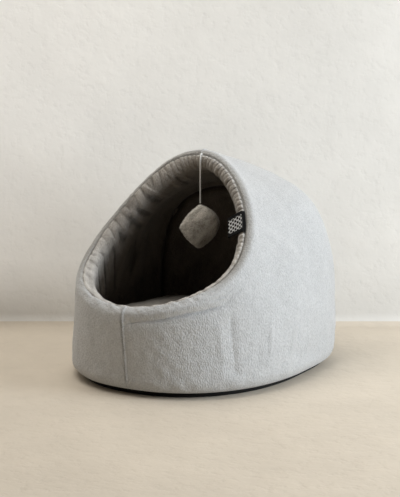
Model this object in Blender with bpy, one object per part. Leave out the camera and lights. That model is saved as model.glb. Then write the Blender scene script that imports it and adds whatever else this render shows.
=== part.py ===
"""Plush cat cave: a padded igloo with a slanted, gathered mouth, a floor pad and a hanging toy.

Millimetres inside the functions, metres in the meshes. +Z is up, the mouth faces -Y, and the
origin lies under the middle of the sole, on the floor. "angle" runs round the cave from the
front centre seam (0) over the sides (90) to the back centre seam (180), in radians in the code.
"climb" runs up the wall's outer skin from the foot (0) to the rim's shoulder (1).
"""

import math

import bmesh
import bpy
import numpy as np

MM = 0.001
GAP = 0.3

# Plan of the wall where it is widest, just above the floor.
HALF_WIDTH = 182.5
FRONT_REACH = 230.0
BACK_REACH = 167.0
WIDEST_Y = 34.0
FRONT_POWER = 2.25
BACK_POWER = 3.7

# Sole, and the wall's tuck over it.
SOLE_THICK = 7.0
SOLE_INSET = 19.0
SOLE_EDGE = 1.5
TUCK_INSET = 16.0
TUCK_RISE = 20.5
FOOT_Z = SOLE_THICK + GAP

# Slanted mouth: the shoulder line of the rim, an oval that sags between lip and apex.
LIP_Y = -206.0
LIP_Z = 118.0
APEX_Y = 28.5
APEX_Z = 334.0
MOUTH_HALF_WIDTH = 135.0
MOUTH_EGG = 0.17
MOUTH_SAG = 34.0
MOUTH_TURN = 0.38

# The wall's path from foot to shoulder is a cubic curve; each row is one angle.
#               angle  rise   reach
WALL_HANDLES = ((0.0, 33.0, 12.0),
                (45.0, 62.0, 21.0),
                (90.0, 75.0, 54.0),
                (135.0, 294.0, 83.0),
                (180.0, 286.0, 121.0))
LEAN_FRONT = 0.08
LEAN_SIDE = -0.02
LEAN_BACK = 0.11
ARRIVE_FRONT = (0.0, 0.23, 0.97)
ARRIVE_SIDE = (-0.73, -0.80, 1.0)
ARRIVE_BACK = (0.0, -0.974, 0.228)

# Padding, rim roll and lining.
ROLL_RADIUS = 14.7
SEAM_TURN = 68.0
LINING_THICK = 2.0
LINING_CLEAR = 1.2
LINING_REST = ROLL_RADIUS - GAP
FOAM_ROLL = LINING_REST - LINING_THICK - LINING_CLEAR
ARCH_Y = 141.0

# Gathers of the lining along the rim, from the sides over the apex.
GATHER_START = 76.0
GATHER_STEP = 2.0
GATHER_HEIGHT = 1.3
PLAIN_STEP = 6.5

# Soft unevenness of the padding.
LUMP = 0.9
CREASE_DEPTH = 2.2
CREASE_WIDTH = 9.0
CREASE_LOW_Z = 106.0
CREASE_RISE = 33.0
CREASE_END = 70.0

# Floor pad.
PAD_HALF_WIDTH = 147.0
PAD_FRONT = 193.0
PAD_BACK = 132.0
#               inset  height
PAD_PROFILE = ((26.0, 0.0),
               (9.0, 7.0),
               (0.0, 26.0),
               (1.5, 48.0),
               (7.0, 64.0),
               (18.0, 73.0),
               (38.0, 77.0),
               (75.0, 79.5))
PAD_CROWN = 81.0
PAD_COLUMNS = 44

# Hanging toy: its own plane faces TOY_FACING degrees round from the front.
TOY_X = 5.4
TOY_Y = 6.3
TOY_TOP_Z = 254.4
TOY_FACING = 30.0
#               across  down
TOY_CORNERS = {"top": (1.4, 0.0),
               "left": (-32.0, 37.0),
               "bottom": (-1.0, 71.0),
               "right": (31.5, 31.0)}
TOY_PLUMP = 12.5
TOY_BULGE = 3.5
TOY_CELLS = 10

CORD_RADIUS = 1.25
CORD_X = 6.6
#                 y      z
CORD_ROUTE = ((12.4, 328.3),
              (10.5, 329.6),
              (8.6, 328.4),
              (7.5, 325.0),
              (7.0, 320.0),
              (7.0, 312.0),
              (7.0, 297.0),
              (7.0, 282.0),
              (7.0, 267.0),
              (7.0, TOY_TOP_Z + GAP))
CORD_STEP = 5.0

# Folded tag, sewn into the rim seam on the right.
TAG_FROM = 99.0
TAG_TO = 113.0
TAG_THICK = 1.2
TAG_LIFT = 2.4
#               from seam  turn  beyond
TAG_ROWS = ((68.0, 1.0, 0.0),
            (80.0, 2.4, 0.0),
            (92.0, 2.8, 0.0),
            (92.0, 2.8, 8.0),
            (92.0, 2.8, 16.0),
            (92.0, 2.8, 23.0))
TAG_COLUMNS = 6

# Faceting.
WALL_COLUMNS = 28
OUTER_CLIMBS = 15
INNER_CLIMBS = 8
BACK_PANEL_STEP = 7.5

COLOURS = {
    "shell": (0.56, 0.555, 0.545),
    "lining": (0.30, 0.275, 0.245),
    "pad": (0.27, 0.245, 0.22),
    "sole": (0.012, 0.012, 0.012),
    "toy": (0.22, 0.20, 0.175),
    "cord": (0.62, 0.61, 0.58),
    "tag": (0.015, 0.015, 0.017),
}


# ---------------------------------------------------------------- shape rules

def signed_power(value, power):
    return np.sign(value) * np.abs(value) ** power


def unit(vectors):
    return vectors / np.linalg.norm(vectors, axis=-1, keepdims=True)


def from_rows(angle, column):
    """Smooth value between the rows of WALL_HANDLES, mirrored at the front and back seams."""
    values = np.array([row[column] for row in WALL_HANDLES])
    values = np.concatenate([[values[1]], values, [values[-2]]])
    place = np.abs((angle + math.pi) % (2.0 * math.pi) - math.pi) / (math.pi / 4.0)
    row = np.clip(np.floor(place).astype(int), 0, 3)
    part = place - row
    before, low, high, after = (values[row + step] for step in range(4))
    bend = 2.0 * before - 5.0 * low + 4.0 * high - after
    twist = 3.0 * low - before - 3.0 * high + after
    return low + 0.5 * part * ((high - before) + part * (bend + part * twist))


def share(angle):
    """How much of a front, side or back value counts at an angle."""
    turn = np.cos(angle)
    front = ((1.0 + turn) / 2.0) ** 2
    back = ((1.0 - turn) / 2.0) ** 2
    return front, 1.0 - front - back, back


def plan(angle, half_width, front, back):
    """Rounded outline: a softer oval at the front, a boxier one behind the widest place."""
    power = 2.0 / np.where(np.cos(angle) > 0.0, FRONT_POWER, BACK_POWER)
    reach = np.where(np.cos(angle) > 0.0, front, back)
    x = half_width * signed_power(np.sin(angle), power)
    y = WIDEST_Y - reach * signed_power(np.cos(angle), power)
    return x, y


def plan_outward(angle):
    power = 2.0 / np.where(np.cos(angle) > 0.0, FRONT_POWER, BACK_POWER)
    reach = np.where(np.cos(angle) > 0.0, FRONT_REACH, BACK_REACH)
    x = signed_power(np.sin(angle), power) / HALF_WIDTH
    y = -signed_power(np.cos(angle), power) / reach
    return unit(np.stack([x, y, np.zeros_like(x)], axis=-1))


def foot_angle(angle):
    return angle - MOUTH_TURN * np.sin(angle)


def foot_line(angle):
    x, y = plan(foot_angle(angle), HALF_WIDTH, FRONT_REACH, BACK_REACH)
    return np.stack([x, y, np.full_like(x, FOOT_Z + TUCK_RISE)], axis=-1)


def shoulder_line(angle):
    """The rim's shoulder: an egg-shaped oval on the slant from the lip to the apex."""
    along = (1.0 - np.cos(angle)) / 2.0
    run = APEX_Y - LIP_Y
    rise = APEX_Z - LIP_Z
    slant = math.hypot(run, rise)
    sag = 4.0 * MOUTH_SAG * along * (1.0 - along)
    x = MOUTH_HALF_WIDTH * np.sin(angle) * (1.0 + MOUTH_EGG * np.cos(angle))
    y = LIP_Y + run * along + sag * rise / slant
    z = LIP_Z + rise * along - sag * run / slant
    return np.stack([x, y, z], axis=-1)


def arrival(angle):
    """Direction in which the wall's skin reaches the shoulder."""
    front, side, back = (part[:, None] for part in share(angle))
    lean = np.stack([ARRIVE_SIDE[0] * np.sin(angle),
                     np.full_like(angle, ARRIVE_SIDE[1]),
                     np.full_like(angle, ARRIVE_SIDE[2])], axis=-1)
    return unit(front * np.array(ARRIVE_FRONT) + 2.0 * side * lean + back * np.array(ARRIVE_BACK))


def skin(angle, climb):
    """Outer skin without its unevenness, for one angle each and one climb."""
    front, side, back = share(angle)
    middle = 2.0 * LEAN_SIDE - 0.5 * (LEAN_FRONT + LEAN_BACK)
    lean = front * LEAN_FRONT + side * middle + back * LEAN_BACK
    foot = foot_line(angle)
    shoulder = shoulder_line(angle)
    upward = unit(plan_outward(foot_angle(angle)) * lean[:, None] + np.array([0.0, 0.0, 1.0]))
    low = foot + upward * from_rows(angle, 1)[:, None]
    high = shoulder - arrival(angle) * from_rows(angle, 2)[:, None]
    rest = 1.0 - climb
    return (rest ** 3 * foot + 3.0 * rest ** 2 * climb * low
            + 3.0 * rest * climb ** 2 * high + climb ** 3 * shoulder)


def skin_outward(angle, climb):
    """Unit normal of the outer skin."""
    step = 0.004
    low = max(climb - step, 0.0)
    high = min(climb + step, 1.0)
    up = skin(angle, high) - skin(angle, low)
    around = skin(angle + step, climb) - skin(angle - step, climb)
    return unit(np.cross(around, up))


def soft_relief(angle, points):
    """Shallow lumps of the padding, and the crease under the lip on the right half."""
    lumps = (np.sin(3.0 * angle + points[:, 2] / 46.0)
             * np.sin(points[:, 2] / 31.0 + 1.3 * np.cos(2.0 * angle)))
    degrees = np.degrees(angle)
    centre = CREASE_LOW_Z + CREASE_RISE * degrees / CREASE_END
    fade = np.clip((CREASE_END - degrees) / 25.0, 0.0, 1.0) * np.clip(degrees / 6.0, 0.0, 1.0)
    crease = np.exp(-((points[:, 2] - centre) / CREASE_WIDTH) ** 2) * fade
    return LUMP * lumps - CREASE_DEPTH * crease


def wall(angle, climb, depth):
    """The wall at a depth below its outer skin; the skin itself carries the unevenness."""
    points = skin(angle, climb)
    outward = skin_outward(angle, climb)
    if depth > 0.0:
        return points - outward * depth
    calm = math.sin(math.pi * min(climb + 0.02, 1.0)) ** 0.5
    return points + outward * (calm * soft_relief(angle, points))[:, None]


def roll(angle, turn, radius):
    """The rim's round edge; turn is 0 at the shoulder and 180 degrees inside the mouth."""
    outward = skin_outward(angle, 1.0)
    centre = shoulder_line(angle) - outward * ROLL_RADIUS
    around = math.radians(turn)
    reach = np.asarray(radius).reshape(-1, 1)
    return centre + reach * (outward * math.cos(around) + arrival(angle) * math.sin(around))


def tuck(angle, turn):
    """The wall's rounded foot; turn is -90 degrees at the sole and 0 at the foot line."""
    around = math.radians(turn)
    inset = plan_outward(foot_angle(angle)) * (TUCK_INSET * (1.0 - math.cos(around)))
    drop = np.array([0.0, 0.0, TUCK_RISE * math.sin(around)])
    return foot_line(angle) - inset + drop


def at_floor(points):
    grounded = points.copy()
    grounded[:, 2] = FOOT_Z
    return grounded


# ---------------------------------------------------------------- mesh helpers

def material(name, colour):
    made = bpy.data.materials.new(name)
    made.use_nodes = True
    shader = made.node_tree.nodes["Principled BSDF"]
    shader.inputs["Base Color"].default_value = (*colour, 1.0)
    shader.inputs["Roughness"].default_value = 0.9
    shader.inputs["Metallic"].default_value = 0.0
    return made


def add_object(name, shape, colour):
    """Turn a shape's faces outward and put it into the scene as one named piece."""
    bmesh.ops.recalc_face_normals(shape, faces=shape.faces)
    if shape.calc_volume(signed=True) < 0.0:
        bmesh.ops.reverse_faces(shape, faces=shape.faces)
    mesh = bpy.data.meshes.new(name)
    shape.to_mesh(mesh)
    shape.free()
    mesh.materials.append(material(name, COLOURS[colour]))
    mesh.shade_smooth()
    mesh.set_sharp_from_angle(angle=math.radians(40.0))
    made = bpy.data.objects.new(name, mesh)
    bpy.context.scene.collection.objects.link(made)
    return made


def loft(sections, ring):
    """Join closed sections, one array of points each; a ring meets itself, else it is capped."""
    shape = bmesh.new()
    loops = [[shape.verts.new(point * MM) for point in section] for section in sections]
    count = len(loops[0])
    pairs = list(zip(loops, loops[1:]))
    if ring:
        pairs.append((loops[-1], loops[0]))
    for near, far in pairs:
        for low in range(count):
            high = (low + 1) % count
            shape.faces.new((near[low], near[high], far[high], far[low]))
    if not ring:
        shape.faces.new(loops[0])
        shape.faces.new(loops[-1])
    return shape


def stacked(rows):
    """Turn rows of points along the angle into one section for each angle."""
    return np.stack(rows, axis=1)


# ---------------------------------------------------------------- the pieces

def make_shell(name, side):
    """One padded half of the outer shell: skin, rim roll, foam face under the lining, foot."""
    angles = side * np.linspace(0.0, math.pi, WALL_COLUMNS + 1)
    rows = [tuck(angles, turn) for turn in (-90.0, -55.0, -25.0)]
    rows += [wall(angles, climb, 0.0) for climb in np.linspace(0.0, 1.0, OUTER_CLIMBS)]
    rows += [roll(angles, turn, ROLL_RADIUS) for turn in (22.0, 44.0, SEAM_TURN)]
    rows += [roll(angles, turn, FOAM_ROLL) for turn in (SEAM_TURN + 3.0, 100.0, 130.0, 156.0)]
    depth = ROLL_RADIUS + FOAM_ROLL
    rows += [wall(angles, climb, depth) for climb in np.linspace(1.0, 0.0, INNER_CLIMBS)]
    rows.append(at_floor(rows[-1]))
    sections = stacked(rows)
    sections[:, :, 0] += side * GAP / 2.0
    return add_object(name, loft(sections, ring=False), "shell")


def gather_angles():
    """Even steps round the lip and sides, then two columns for each gather over the apex."""
    plain = np.arange(-GATHER_START, GATHER_START, PLAIN_STEP)
    gathered = np.arange(GATHER_START, 360.0 - GATHER_START, GATHER_STEP)
    return np.radians(np.concatenate([plain, gathered]))


def gather_height(angles):
    """Crest and trough by turns, uneven from one gather to the next, fading out at the sides."""
    degrees = np.degrees(angles)
    order = np.arange(len(angles))
    crest = np.where(order % 2 == 0, 1.0, 0.0)
    uneven = 0.65 + 0.35 * np.sin(1.7 * order) * np.cos(0.61 * order)
    fade = np.clip((degrees - GATHER_START) / 22.0, 0.0, 1.0)
    fade *= np.clip((360.0 - GATHER_START - degrees) / 22.0, 0.0, 1.0)
    return GATHER_HEIGHT * crest * uneven * fade


def lining_sections(angles, height):
    """The lining from the rim seam round the roll and down inside to the sole, and back up."""
    rows = []
    for turn, strength in ((SEAM_TURN + 4.0, 0.3), (90.0, 1.0), (118.0, 1.0), (148.0, 0.9)):
        rows.append(roll(angles, turn, LINING_REST + strength * height))
    inner_depth = ROLL_RADIUS + LINING_REST
    for climb in np.linspace(1.0, 0.0, INNER_CLIMBS):
        strength = max(climb - 0.72, 0.0) / 0.28
        inward = skin_outward(angles, climb) * (0.8 * strength * height)[:, None]
        rows.append(wall(angles, climb, inner_depth) - inward)
    rows.append(at_floor(rows[-1]))
    under_depth = inner_depth - LINING_THICK
    below = [wall(angles, climb, under_depth) for climb in np.linspace(0.0, 1.0, INNER_CLIMBS)]
    rows.append(at_floor(below[0]))
    rows += below
    for turn in (148.0, 110.0, SEAM_TURN + 4.0):
        rows.append(roll(angles, turn, LINING_REST - LINING_THICK))
    return stacked(rows)


def cut_at_arch(shape, keep_front):
    """Cut a lining at the upright plane of the arch seam and close the cut."""
    away = 1.0 if keep_front else -1.0
    place = (0.0, (ARCH_Y - away * GAP / 2.0) * MM, 0.0)
    everything = shape.verts[:] + shape.edges[:] + shape.faces[:]
    bmesh.ops.bisect_plane(shape, geom=everything, plane_co=place, plane_no=(0.0, away, 0.0),
                           clear_outer=True, dist=1e-6)
    open_edges = [edge for edge in shape.edges if edge.is_boundary]
    bmesh.ops.edgeloop_fill(shape, edges=open_edges)
    bmesh.ops.triangulate(shape, faces=shape.faces[:])


def make_lining_tunnel():
    angles = gather_angles()
    shape = loft(lining_sections(angles, gather_height(angles)), ring=True)
    cut_at_arch(shape, keep_front=True)
    return add_object("lining_tunnel", shape, "lining")


def make_lining_back():
    angles = np.radians(np.arange(0.0, 360.0, BACK_PANEL_STEP))
    shape = loft(lining_sections(angles, np.zeros_like(angles)), ring=True)
    cut_at_arch(shape, keep_front=False)
    return add_object("lining_back", shape, "lining")


def make_pad():
    """Oval filled pad: flat below, drawn in at the bottom edge, crowned on top."""
    angles = np.linspace(0.0, 2.0 * math.pi, PAD_COLUMNS, endpoint=False)
    shape = bmesh.new()
    loops = []
    for inset, height in PAD_PROFILE:
        x, y = plan(angles, PAD_HALF_WIDTH - inset, PAD_FRONT - inset, PAD_BACK - inset)
        lump = 0.0 if height == 0.0 else 1.0
        z = FOOT_Z + height + lump * np.sin(3.0 * angles + 0.05 * inset)
        points = np.stack([x, y, z], axis=-1)
        loops.append([shape.verts.new(point * MM) for point in points])
    crown = shape.verts.new(np.array([0.0, WIDEST_Y - 30.0, FOOT_Z + PAD_CROWN]) * MM)
    for near, far in zip(loops, loops[1:]):
        for low in range(PAD_COLUMNS):
            high = (low + 1) % PAD_COLUMNS
            shape.faces.new((near[low], near[high], far[high], far[low]))
    for low in range(PAD_COLUMNS):
        shape.faces.new((loops[-1][low], loops[-1][(low + 1) % PAD_COLUMNS], crown))
    shape.faces.new(loops[0])
    return add_object("cushion", shape, "pad")


def make_sole():
    """Thin flat sole, a little smaller than the wall's foot, with its edges eased."""
    angles = np.linspace(0.0, 2.0 * math.pi, 2 * WALL_COLUMNS, endpoint=False)
    inward = plan_outward(foot_angle(angles))
    edge = foot_line(angles) - inward * SOLE_INSET
    sections = []
    for ease, height in ((SOLE_EDGE, 0.0), (0.0, SOLE_EDGE),
                         (0.0, SOLE_THICK - SOLE_EDGE), (SOLE_EDGE, SOLE_THICK)):
        ring = edge - inward * ease
        ring[:, 2] = height
        sections.append(ring)
    return add_object("sole", loft(sections, ring=False), "sole")


def toy_point(across, down, out):
    """From the toy's own plane into the cave's axes."""
    facing = math.radians(TOY_FACING)
    x = TOY_X + across * math.cos(facing) + out * math.sin(facing)
    y = TOY_Y + across * math.sin(facing) - out * math.cos(facing)
    return (x * MM, y * MM, (TOY_TOP_Z - down) * MM)


def toy_flat(u, v):
    """A place on the toy's four-cornered outline, its sides bowed a little outward."""
    corner = {key: np.array(value) for key, value in TOY_CORNERS.items()}
    low = corner["top"] * (1.0 - u) + corner["right"] * u
    high = corner["left"] * (1.0 - u) + corner["bottom"] * u
    place = low * (1.0 - v) + high * v
    centre = sum(corner.values()) / 4.0
    bow = TOY_BULGE * (math.sin(math.pi * u) * abs(2.0 * v - 1.0)
                       + math.sin(math.pi * v) * abs(2.0 * u - 1.0))
    away = place - centre
    length = max(float(np.linalg.norm(away)), 1e-6)
    return place + away / length * bow


def make_toy():
    """Stuffed pillow: two faces that meet at the sewn outline and are fullest in the middle."""
    shape = bmesh.new()
    grids = []
    for face in (1.0, -1.0):
        grid = {}
        for i in range(TOY_CELLS + 1):
            for j in range(TOY_CELLS + 1):
                edge = i in (0, TOY_CELLS) or j in (0, TOY_CELLS)
                if edge and face < 0.0:
                    grid[i, j] = grids[0][i, j]
                    continue
                u = i / TOY_CELLS
                v = j / TOY_CELLS
                full = (16.0 * u * (1.0 - u) * v * (1.0 - v)) ** 0.55
                across, down = toy_flat(u, v)
                grid[i, j] = shape.verts.new(toy_point(across, down, face * TOY_PLUMP * full))
        grids.append(grid)
    for grid in grids:
        for i in range(TOY_CELLS):
            for j in range(TOY_CELLS):
                shape.faces.new((grid[i, j], grid[i + 1, j], grid[i + 1, j + 1], grid[i, j + 1]))
    return add_object("toy", shape, "toy")


def cord_points():
    """Points about two diameters apart on a smooth curve through the route."""
    route = np.array(CORD_ROUTE)
    padded = np.concatenate([[2.0 * route[0] - route[1]], route, [2.0 * route[-1] - route[-2]]])
    points = [route[0]]
    for index in range(len(route) - 1):
        before, low, high, after = padded[index:index + 4]
        steps = max(int(round(np.linalg.norm(high - low) / CORD_STEP)), 1)
        for step in range(1, steps + 1):
            part = step / steps
            bend = 2.0 * before - 5.0 * low + 4.0 * high - after
            twist = 3.0 * low - before - 3.0 * high + after
            points.append(low + 0.5 * part * ((high - before) + part * (bend + part * twist)))
    return [(CORD_X * MM, y * MM, z * MM) for y, z in points]


def make_cord():
    points = cord_points()
    curve = bpy.data.curves.new("toy_cord", "CURVE")
    curve.dimensions = "3D"
    curve.bevel_depth = CORD_RADIUS * MM
    curve.bevel_resolution = 2
    curve.use_fill_caps = True
    spline = curve.splines.new("POLY")
    spline.points.add(len(points) - 1)
    for place, point in zip(spline.points, points):
        place.co = (*point, 1.0)
    curve.materials.append(material("toy_cord", COLOURS["cord"]))
    made = bpy.data.objects.new("toy_cord", curve)
    bpy.context.scene.collection.objects.link(made)
    return made


def make_tag():
    """Folded tag: comes out of the seam, bends over the rim roll and stands into the mouth."""
    angles = np.radians(np.linspace(TAG_FROM, TAG_TO, TAG_COLUMNS))
    over = []
    under = []
    for turn, lift, beyond in TAG_ROWS:
        drift = -skin_outward(angles, 1.0) * beyond
        over.append(roll(angles, turn, LINING_REST + lift + TAG_THICK) + drift)
        under.append(roll(angles, turn, LINING_REST + lift) + drift)
    sections = stacked(over + under[::-1])
    return add_object("tag", loft(sections, ring=False), "tag")


def main():
    for old in list(bpy.data.objects):
        bpy.data.objects.remove(old, do_unlink=True)
    make_sole()
    make_shell("shell_left", -1.0)
    make_shell("shell_right", 1.0)
    make_lining_tunnel()
    make_lining_back()
    make_pad()
    make_toy()
    make_cord()
    make_tag()


main()
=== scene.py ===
"""Plush cat cave: its cloth, padding, gathers, seams, floor pad and hanging toy, and its stage.

Shapes are worked out in millimetres and made into meshes in metres. "angle" runs round the cave
from the front centre seam (0) over the sides to the back centre seam (180 degrees). "climb" runs
up the wall's outer skin from the foot (0) to the rim's shoulder (1), and "turn" runs round the
rim's roll from its shoulder (0) into the mouth.
"""

import math

import bmesh
import bpy
import numpy as np
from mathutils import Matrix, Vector


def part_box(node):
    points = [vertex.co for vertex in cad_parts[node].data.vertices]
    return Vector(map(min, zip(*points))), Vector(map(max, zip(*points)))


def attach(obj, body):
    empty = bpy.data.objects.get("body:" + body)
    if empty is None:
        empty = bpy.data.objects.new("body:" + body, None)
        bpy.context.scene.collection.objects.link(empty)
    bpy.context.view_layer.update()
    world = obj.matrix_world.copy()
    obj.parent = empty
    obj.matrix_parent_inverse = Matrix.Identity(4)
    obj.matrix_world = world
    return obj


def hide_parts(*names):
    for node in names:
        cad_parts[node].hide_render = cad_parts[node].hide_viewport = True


bl_info = {
    "name": "Plush Cat Cave",
    "version": (1, 0, 0),
    "blender": (4, 5, 0),
    "location": "3D View > Sidebar > Cat Cave",
    "description": "Makes the cloth, padding, seams and toy of a plush cat cave on its frame",
    "category": "Object",
}

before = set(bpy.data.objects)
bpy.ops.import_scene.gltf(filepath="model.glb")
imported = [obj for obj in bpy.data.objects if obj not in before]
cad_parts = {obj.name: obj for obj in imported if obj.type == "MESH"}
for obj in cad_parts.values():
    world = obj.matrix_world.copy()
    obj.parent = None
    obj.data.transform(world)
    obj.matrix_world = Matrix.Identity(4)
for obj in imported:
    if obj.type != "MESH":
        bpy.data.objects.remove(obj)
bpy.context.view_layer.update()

MM = 0.001
UP = np.array([0.0, 0.0, 1.0])
# Left between neighbouring pieces, in mm.
GAP = 0.3

# Plan of the wall where it is widest, and the sole under it.
HALF_WIDTH = 182.5
FRONT_REACH = 230.0
BACK_REACH = 167.0
WIDEST_Y = 34.0
FRONT_POWER = 2.25
BACK_POWER = 3.7
SOLE_THICK = 7.0
SOLE_INSET = 19.0
TUCK_INSET = 16.0
TUCK_RISE = 20.5
FOOT_Z = SOLE_THICK + GAP

# Slanted mouth: the shoulder line of the rim.
LIP_Y = -206.0
LIP_Z = 118.0
APEX_Y = 28.5
APEX_Z = 334.0
MOUTH_HALF_WIDTH = 135.0
MOUTH_EGG = 0.17
MOUTH_SAG = 34.0
MOUTH_TURN = 0.38

# The wall's path from foot to shoulder is a cubic curve; each row is one angle.
#               angle  rise   reach
WALL_HANDLES = ((0.0, 33.0, 12.0),
                (45.0, 62.0, 21.0),
                (90.0, 75.0, 54.0),
                (135.0, 294.0, 83.0),
                (180.0, 286.0, 121.0))
LEAN_FRONT = 0.08
LEAN_SIDE = -0.02
LEAN_BACK = 0.11
ARRIVE_FRONT = (0.0, 0.23, 0.97)
ARRIVE_SIDE = (-0.73, -0.80, 1.0)
ARRIVE_BACK = (0.0, -0.974, 0.228)

# Padding, rim roll and lining.
ROLL_RADIUS = 14.7
SEAM_TURN = 68.0
LINING_REST = ROLL_RADIUS - GAP
FOAM_ROLL = 8.0
FOAM_THICK = ROLL_RADIUS + FOAM_ROLL
ARCH_Y = 141.0
LUMP = 0.9
CREASE_DEPTH = 2.2
CREASE_WIDTH = 9.0
CREASE_LOW_Z = 106.0
CREASE_RISE = 33.0
CREASE_END = 70.0

# Floor pad, as the frame holds it.
PAD_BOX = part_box("cushion")
PAD_HALF_WIDTH = 147.0
PAD_FRONT = 193.0
PAD_BACK = 132.0

# Hanging toy and its cord.
TOY_TOP = np.array([5.4, 6.3, 254.4])
TOY_FACING = math.radians(30.0)
TOY_RIGHT = np.array([math.cos(TOY_FACING), math.sin(TOY_FACING), 0.0])
TOY_OUT = np.array([math.sin(TOY_FACING), -math.cos(TOY_FACING), 0.0])
# Corners, from the top to the right, the bottom and the left: across and down, in mm.
TOY_CORNERS = np.array([(1.4, 0.0), (31.5, 31.0), (-1.0, 71.0), (-32.0, 37.0)])
TOY_PLUMP = 10.0
TOY_BULGE = 3.5
CORD_RADIUS = 1.25
CORD_X = 6.6
#                 y      z
CORD_ROUTE = ((12.4, 328.3),
              (10.5, 329.6),
              (8.6, 328.4),
              (7.5, 325.0),
              (7.0, 320.0),
              (7.0, 312.0),
              (7.0, 297.0),
              (7.0, 282.0),
              (7.0, 267.0),
              (7.0, TOY_TOP[2] + GAP))

# Folded tag in the rim seam.
TAG_FROM = 99.0
TAG_TO = 113.0
TAG_LIFT = 2.4
TAG_REACH = 23.0
TAG_LOOP = 0.5
TAG_CLOTH = 0.35

# Creases and puffs of the shell and the lining: how high, how wide, and places along each.
RIDGE_SHARPNESS = 2.0
VALLEY_SHARPNESS = 1.35
SHELL_FOLDS = (
    (-3.2, 2.6, ((15, -206, 108), (38, -202, 112), (57, -195, 115), (76, -186, 120),
                 (91, -175, 124), (103, -164, 126), (115, -151, 129), (125, -137, 132),
                 (132, -125, 139))),
    (1.3, 4.5, ((38, -203, 121), (76, -187, 129), (103, -165, 136), (122, -140, 144))),
    (-1.0, 1.5, ((2, -206, 104), (15, -206, 108), (35, -202, 113))),
    (-1.7, 2.2, ((96, -163, 146), (107, -155, 149), (117, -143, 154), (125, -130, 159))),
    (-1.7, 2.4, ((103, -164, 137), (114, -151, 140), (125, -136, 145), (132, -119, 155))),
    (-1.6, 2.6, ((117, -149, 133), (127, -133, 138), (134, -117, 146), (139, -102, 159))),
    (-2.6, 6.0, ((132, -127, 128), (133, -127, 114), (135, -128, 90), (137, -128, 69),
                 (139, -127, 48), (139, -125, 28))),
    (1.5, 6.0, ((120, -143, 112), (123, -143, 90), (125, -142, 66), (127, -140, 40))),
    (-1.3, 4.5, ((158, -83, 100), (157, -88, 78), (157, -93, 58), (156, -97, 32))),
    (1.3, 4.0, ((165, -62, 104), (165, -68, 74), (164, -74, 40))),
    (1.6, 3.5, ((177, -11, 96), (177, -22, 68), (175, -30, 36))),
    (-1.4, 3.5, ((178, 0, 100), (179, -8, 70), (178, -16, 38))),
    (1.2, 4.0, ((181, 26, 84), (182, 21, 60), (181, 14, 36))),
    (-1.0, 5.0, ((-45, -199, 112), (-54, -193, 75), (-58, -189, 36))),
    (0.9, 5.0, ((-20, -205, 104), (-25, -200, 72), (-25, -197, 36))))
LINING_FOLDS = (
    (2.9, 2.3, ((-82, -15, 277), (-72, -13, 273), (-66, -6, 269), (-66, 12, 265),
                (-69, 31, 262), (-80, 60, 255))),
    (-3.4, 3.6, ((-80, -15, 268), (-74, -11, 262), (-74, 8, 255), (-81, 39, 251))),
    (2.0, 2.5, ((-41, 3, 304), (-32, 11, 299), (-33, 39, 290), (-44, 82, 280))),
    (-2.0, 2.5, ((-46, 2, 298), (-40, 14, 291), (-45, 44, 281), (-54, 84, 274))),
    (2.0, 2.5, ((-50, 0, 292), (-47, 18, 284), (-58, 60, 272))),
    (1.7, 1.9, ((-37, 5, 314), (-29, 7, 306), (-30, 20, 296))),
    (1.7, 2.0, ((-50, -1, 300), (-43, 4, 294), (-43, 16, 287))),
    (2.5, 2.9, ((-89, -25, 259), (-82, -19, 250), (-86, 8, 241), (-100, 45, 234))),
    (-3.4, 2.9, ((-93, -28, 251), (-86, -22, 242), (-90, 5, 233), (-104, 42, 226))),
    (2.5, 3.2, ((-98, -36, 244), (-90, -28, 236), (-97, 2, 225), (-110, 36, 217))),
    (-3.4, 3.2, ((-101, -39, 236), (-93, -31, 227), (-101, -2, 216), (-114, 32, 208))),
    (2.2, 3.2, ((-106, -50, 225), (-100, -42, 215), (-112, -3, 201), (-122, 24, 191))),
    (-3.6, 3.6, ((-108, -55, 216), (-103, -48, 205), (-114, -12, 191))),
    (2.0, 2.9, ((-112, -68, 205), (-107, -60, 197), (-118, -29, 182), (-130, -4, 168))),
    (-2.7, 2.9, ((-108, -64, 193), (-118, -41, 177), (-128, -26, 158), (-139, -10, 136),
                 (-148, 5, 107))),
    (2.9, 2.3, ((-112, -79, 187), (-109, -80, 182), (-118, -61, 167), (-128, -43, 145),
                (-137, -30, 124))),
    (-2.9, 1.9, ((-112, -91, 182), (-110, -86, 178), (-116, -73, 163), (-125, -57, 145),
                 (-135, -42, 122), (-143, -28, 102))),
    (2.9, 1.7, ((-118, -104, 178), (-113, -101, 177), (-109, -97, 173), (-113, -85, 158),
                (-123, -68, 140), (-132, -54, 118), (-140, -42, 100))),
    (-3.4, 1.4, ((-116, -110, 174), (-111, -109, 171), (-107, -106, 165), (-112, -94, 150),
                 (-121, -78, 134), (-129, -64, 117), (-138, -52, 98))),
    (2.2, 1.7, ((-110, -122, 166), (-107, -117, 164), (-104, -114, 158), (-110, -101, 143),
                (-120, -85, 125), (-128, -74, 108))),
    (-1.1, 1.4, ((-112, -126, 164), (-108, -126, 160), (-103, -126, 156))),
    (1.5, 7.0, ((-118, 0, 196), (-131, 8, 160), (-142, 12, 128), (-148, 14, 100))),
    (-2.0, 8.0, ((-128, 34, 190), (-141, 50, 155), (-149, 52, 115))),
    (1.6, 6.0, ((-134, 78, 186), (-145, 70, 145), (-151, 48, 105))),
    (1.7, 2.5, ((60, 10, 275), (72, 34, 268), (84, 60, 254))))

# Camera, in the object's frame.
CAMERA_AZIMUTH = 29.55
CAMERA_ELEVATION = 8.35
CAMERA_DISTANCE = 1865.0
CAMERA_TARGET = (-7.0, 30.0, 181.2)
CAMERA_LENS = 87.15

# ---------------------------------------------------------------- shape rules

def signed_power(value, power):
    return np.sign(value) * np.abs(value) ** power


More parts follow.
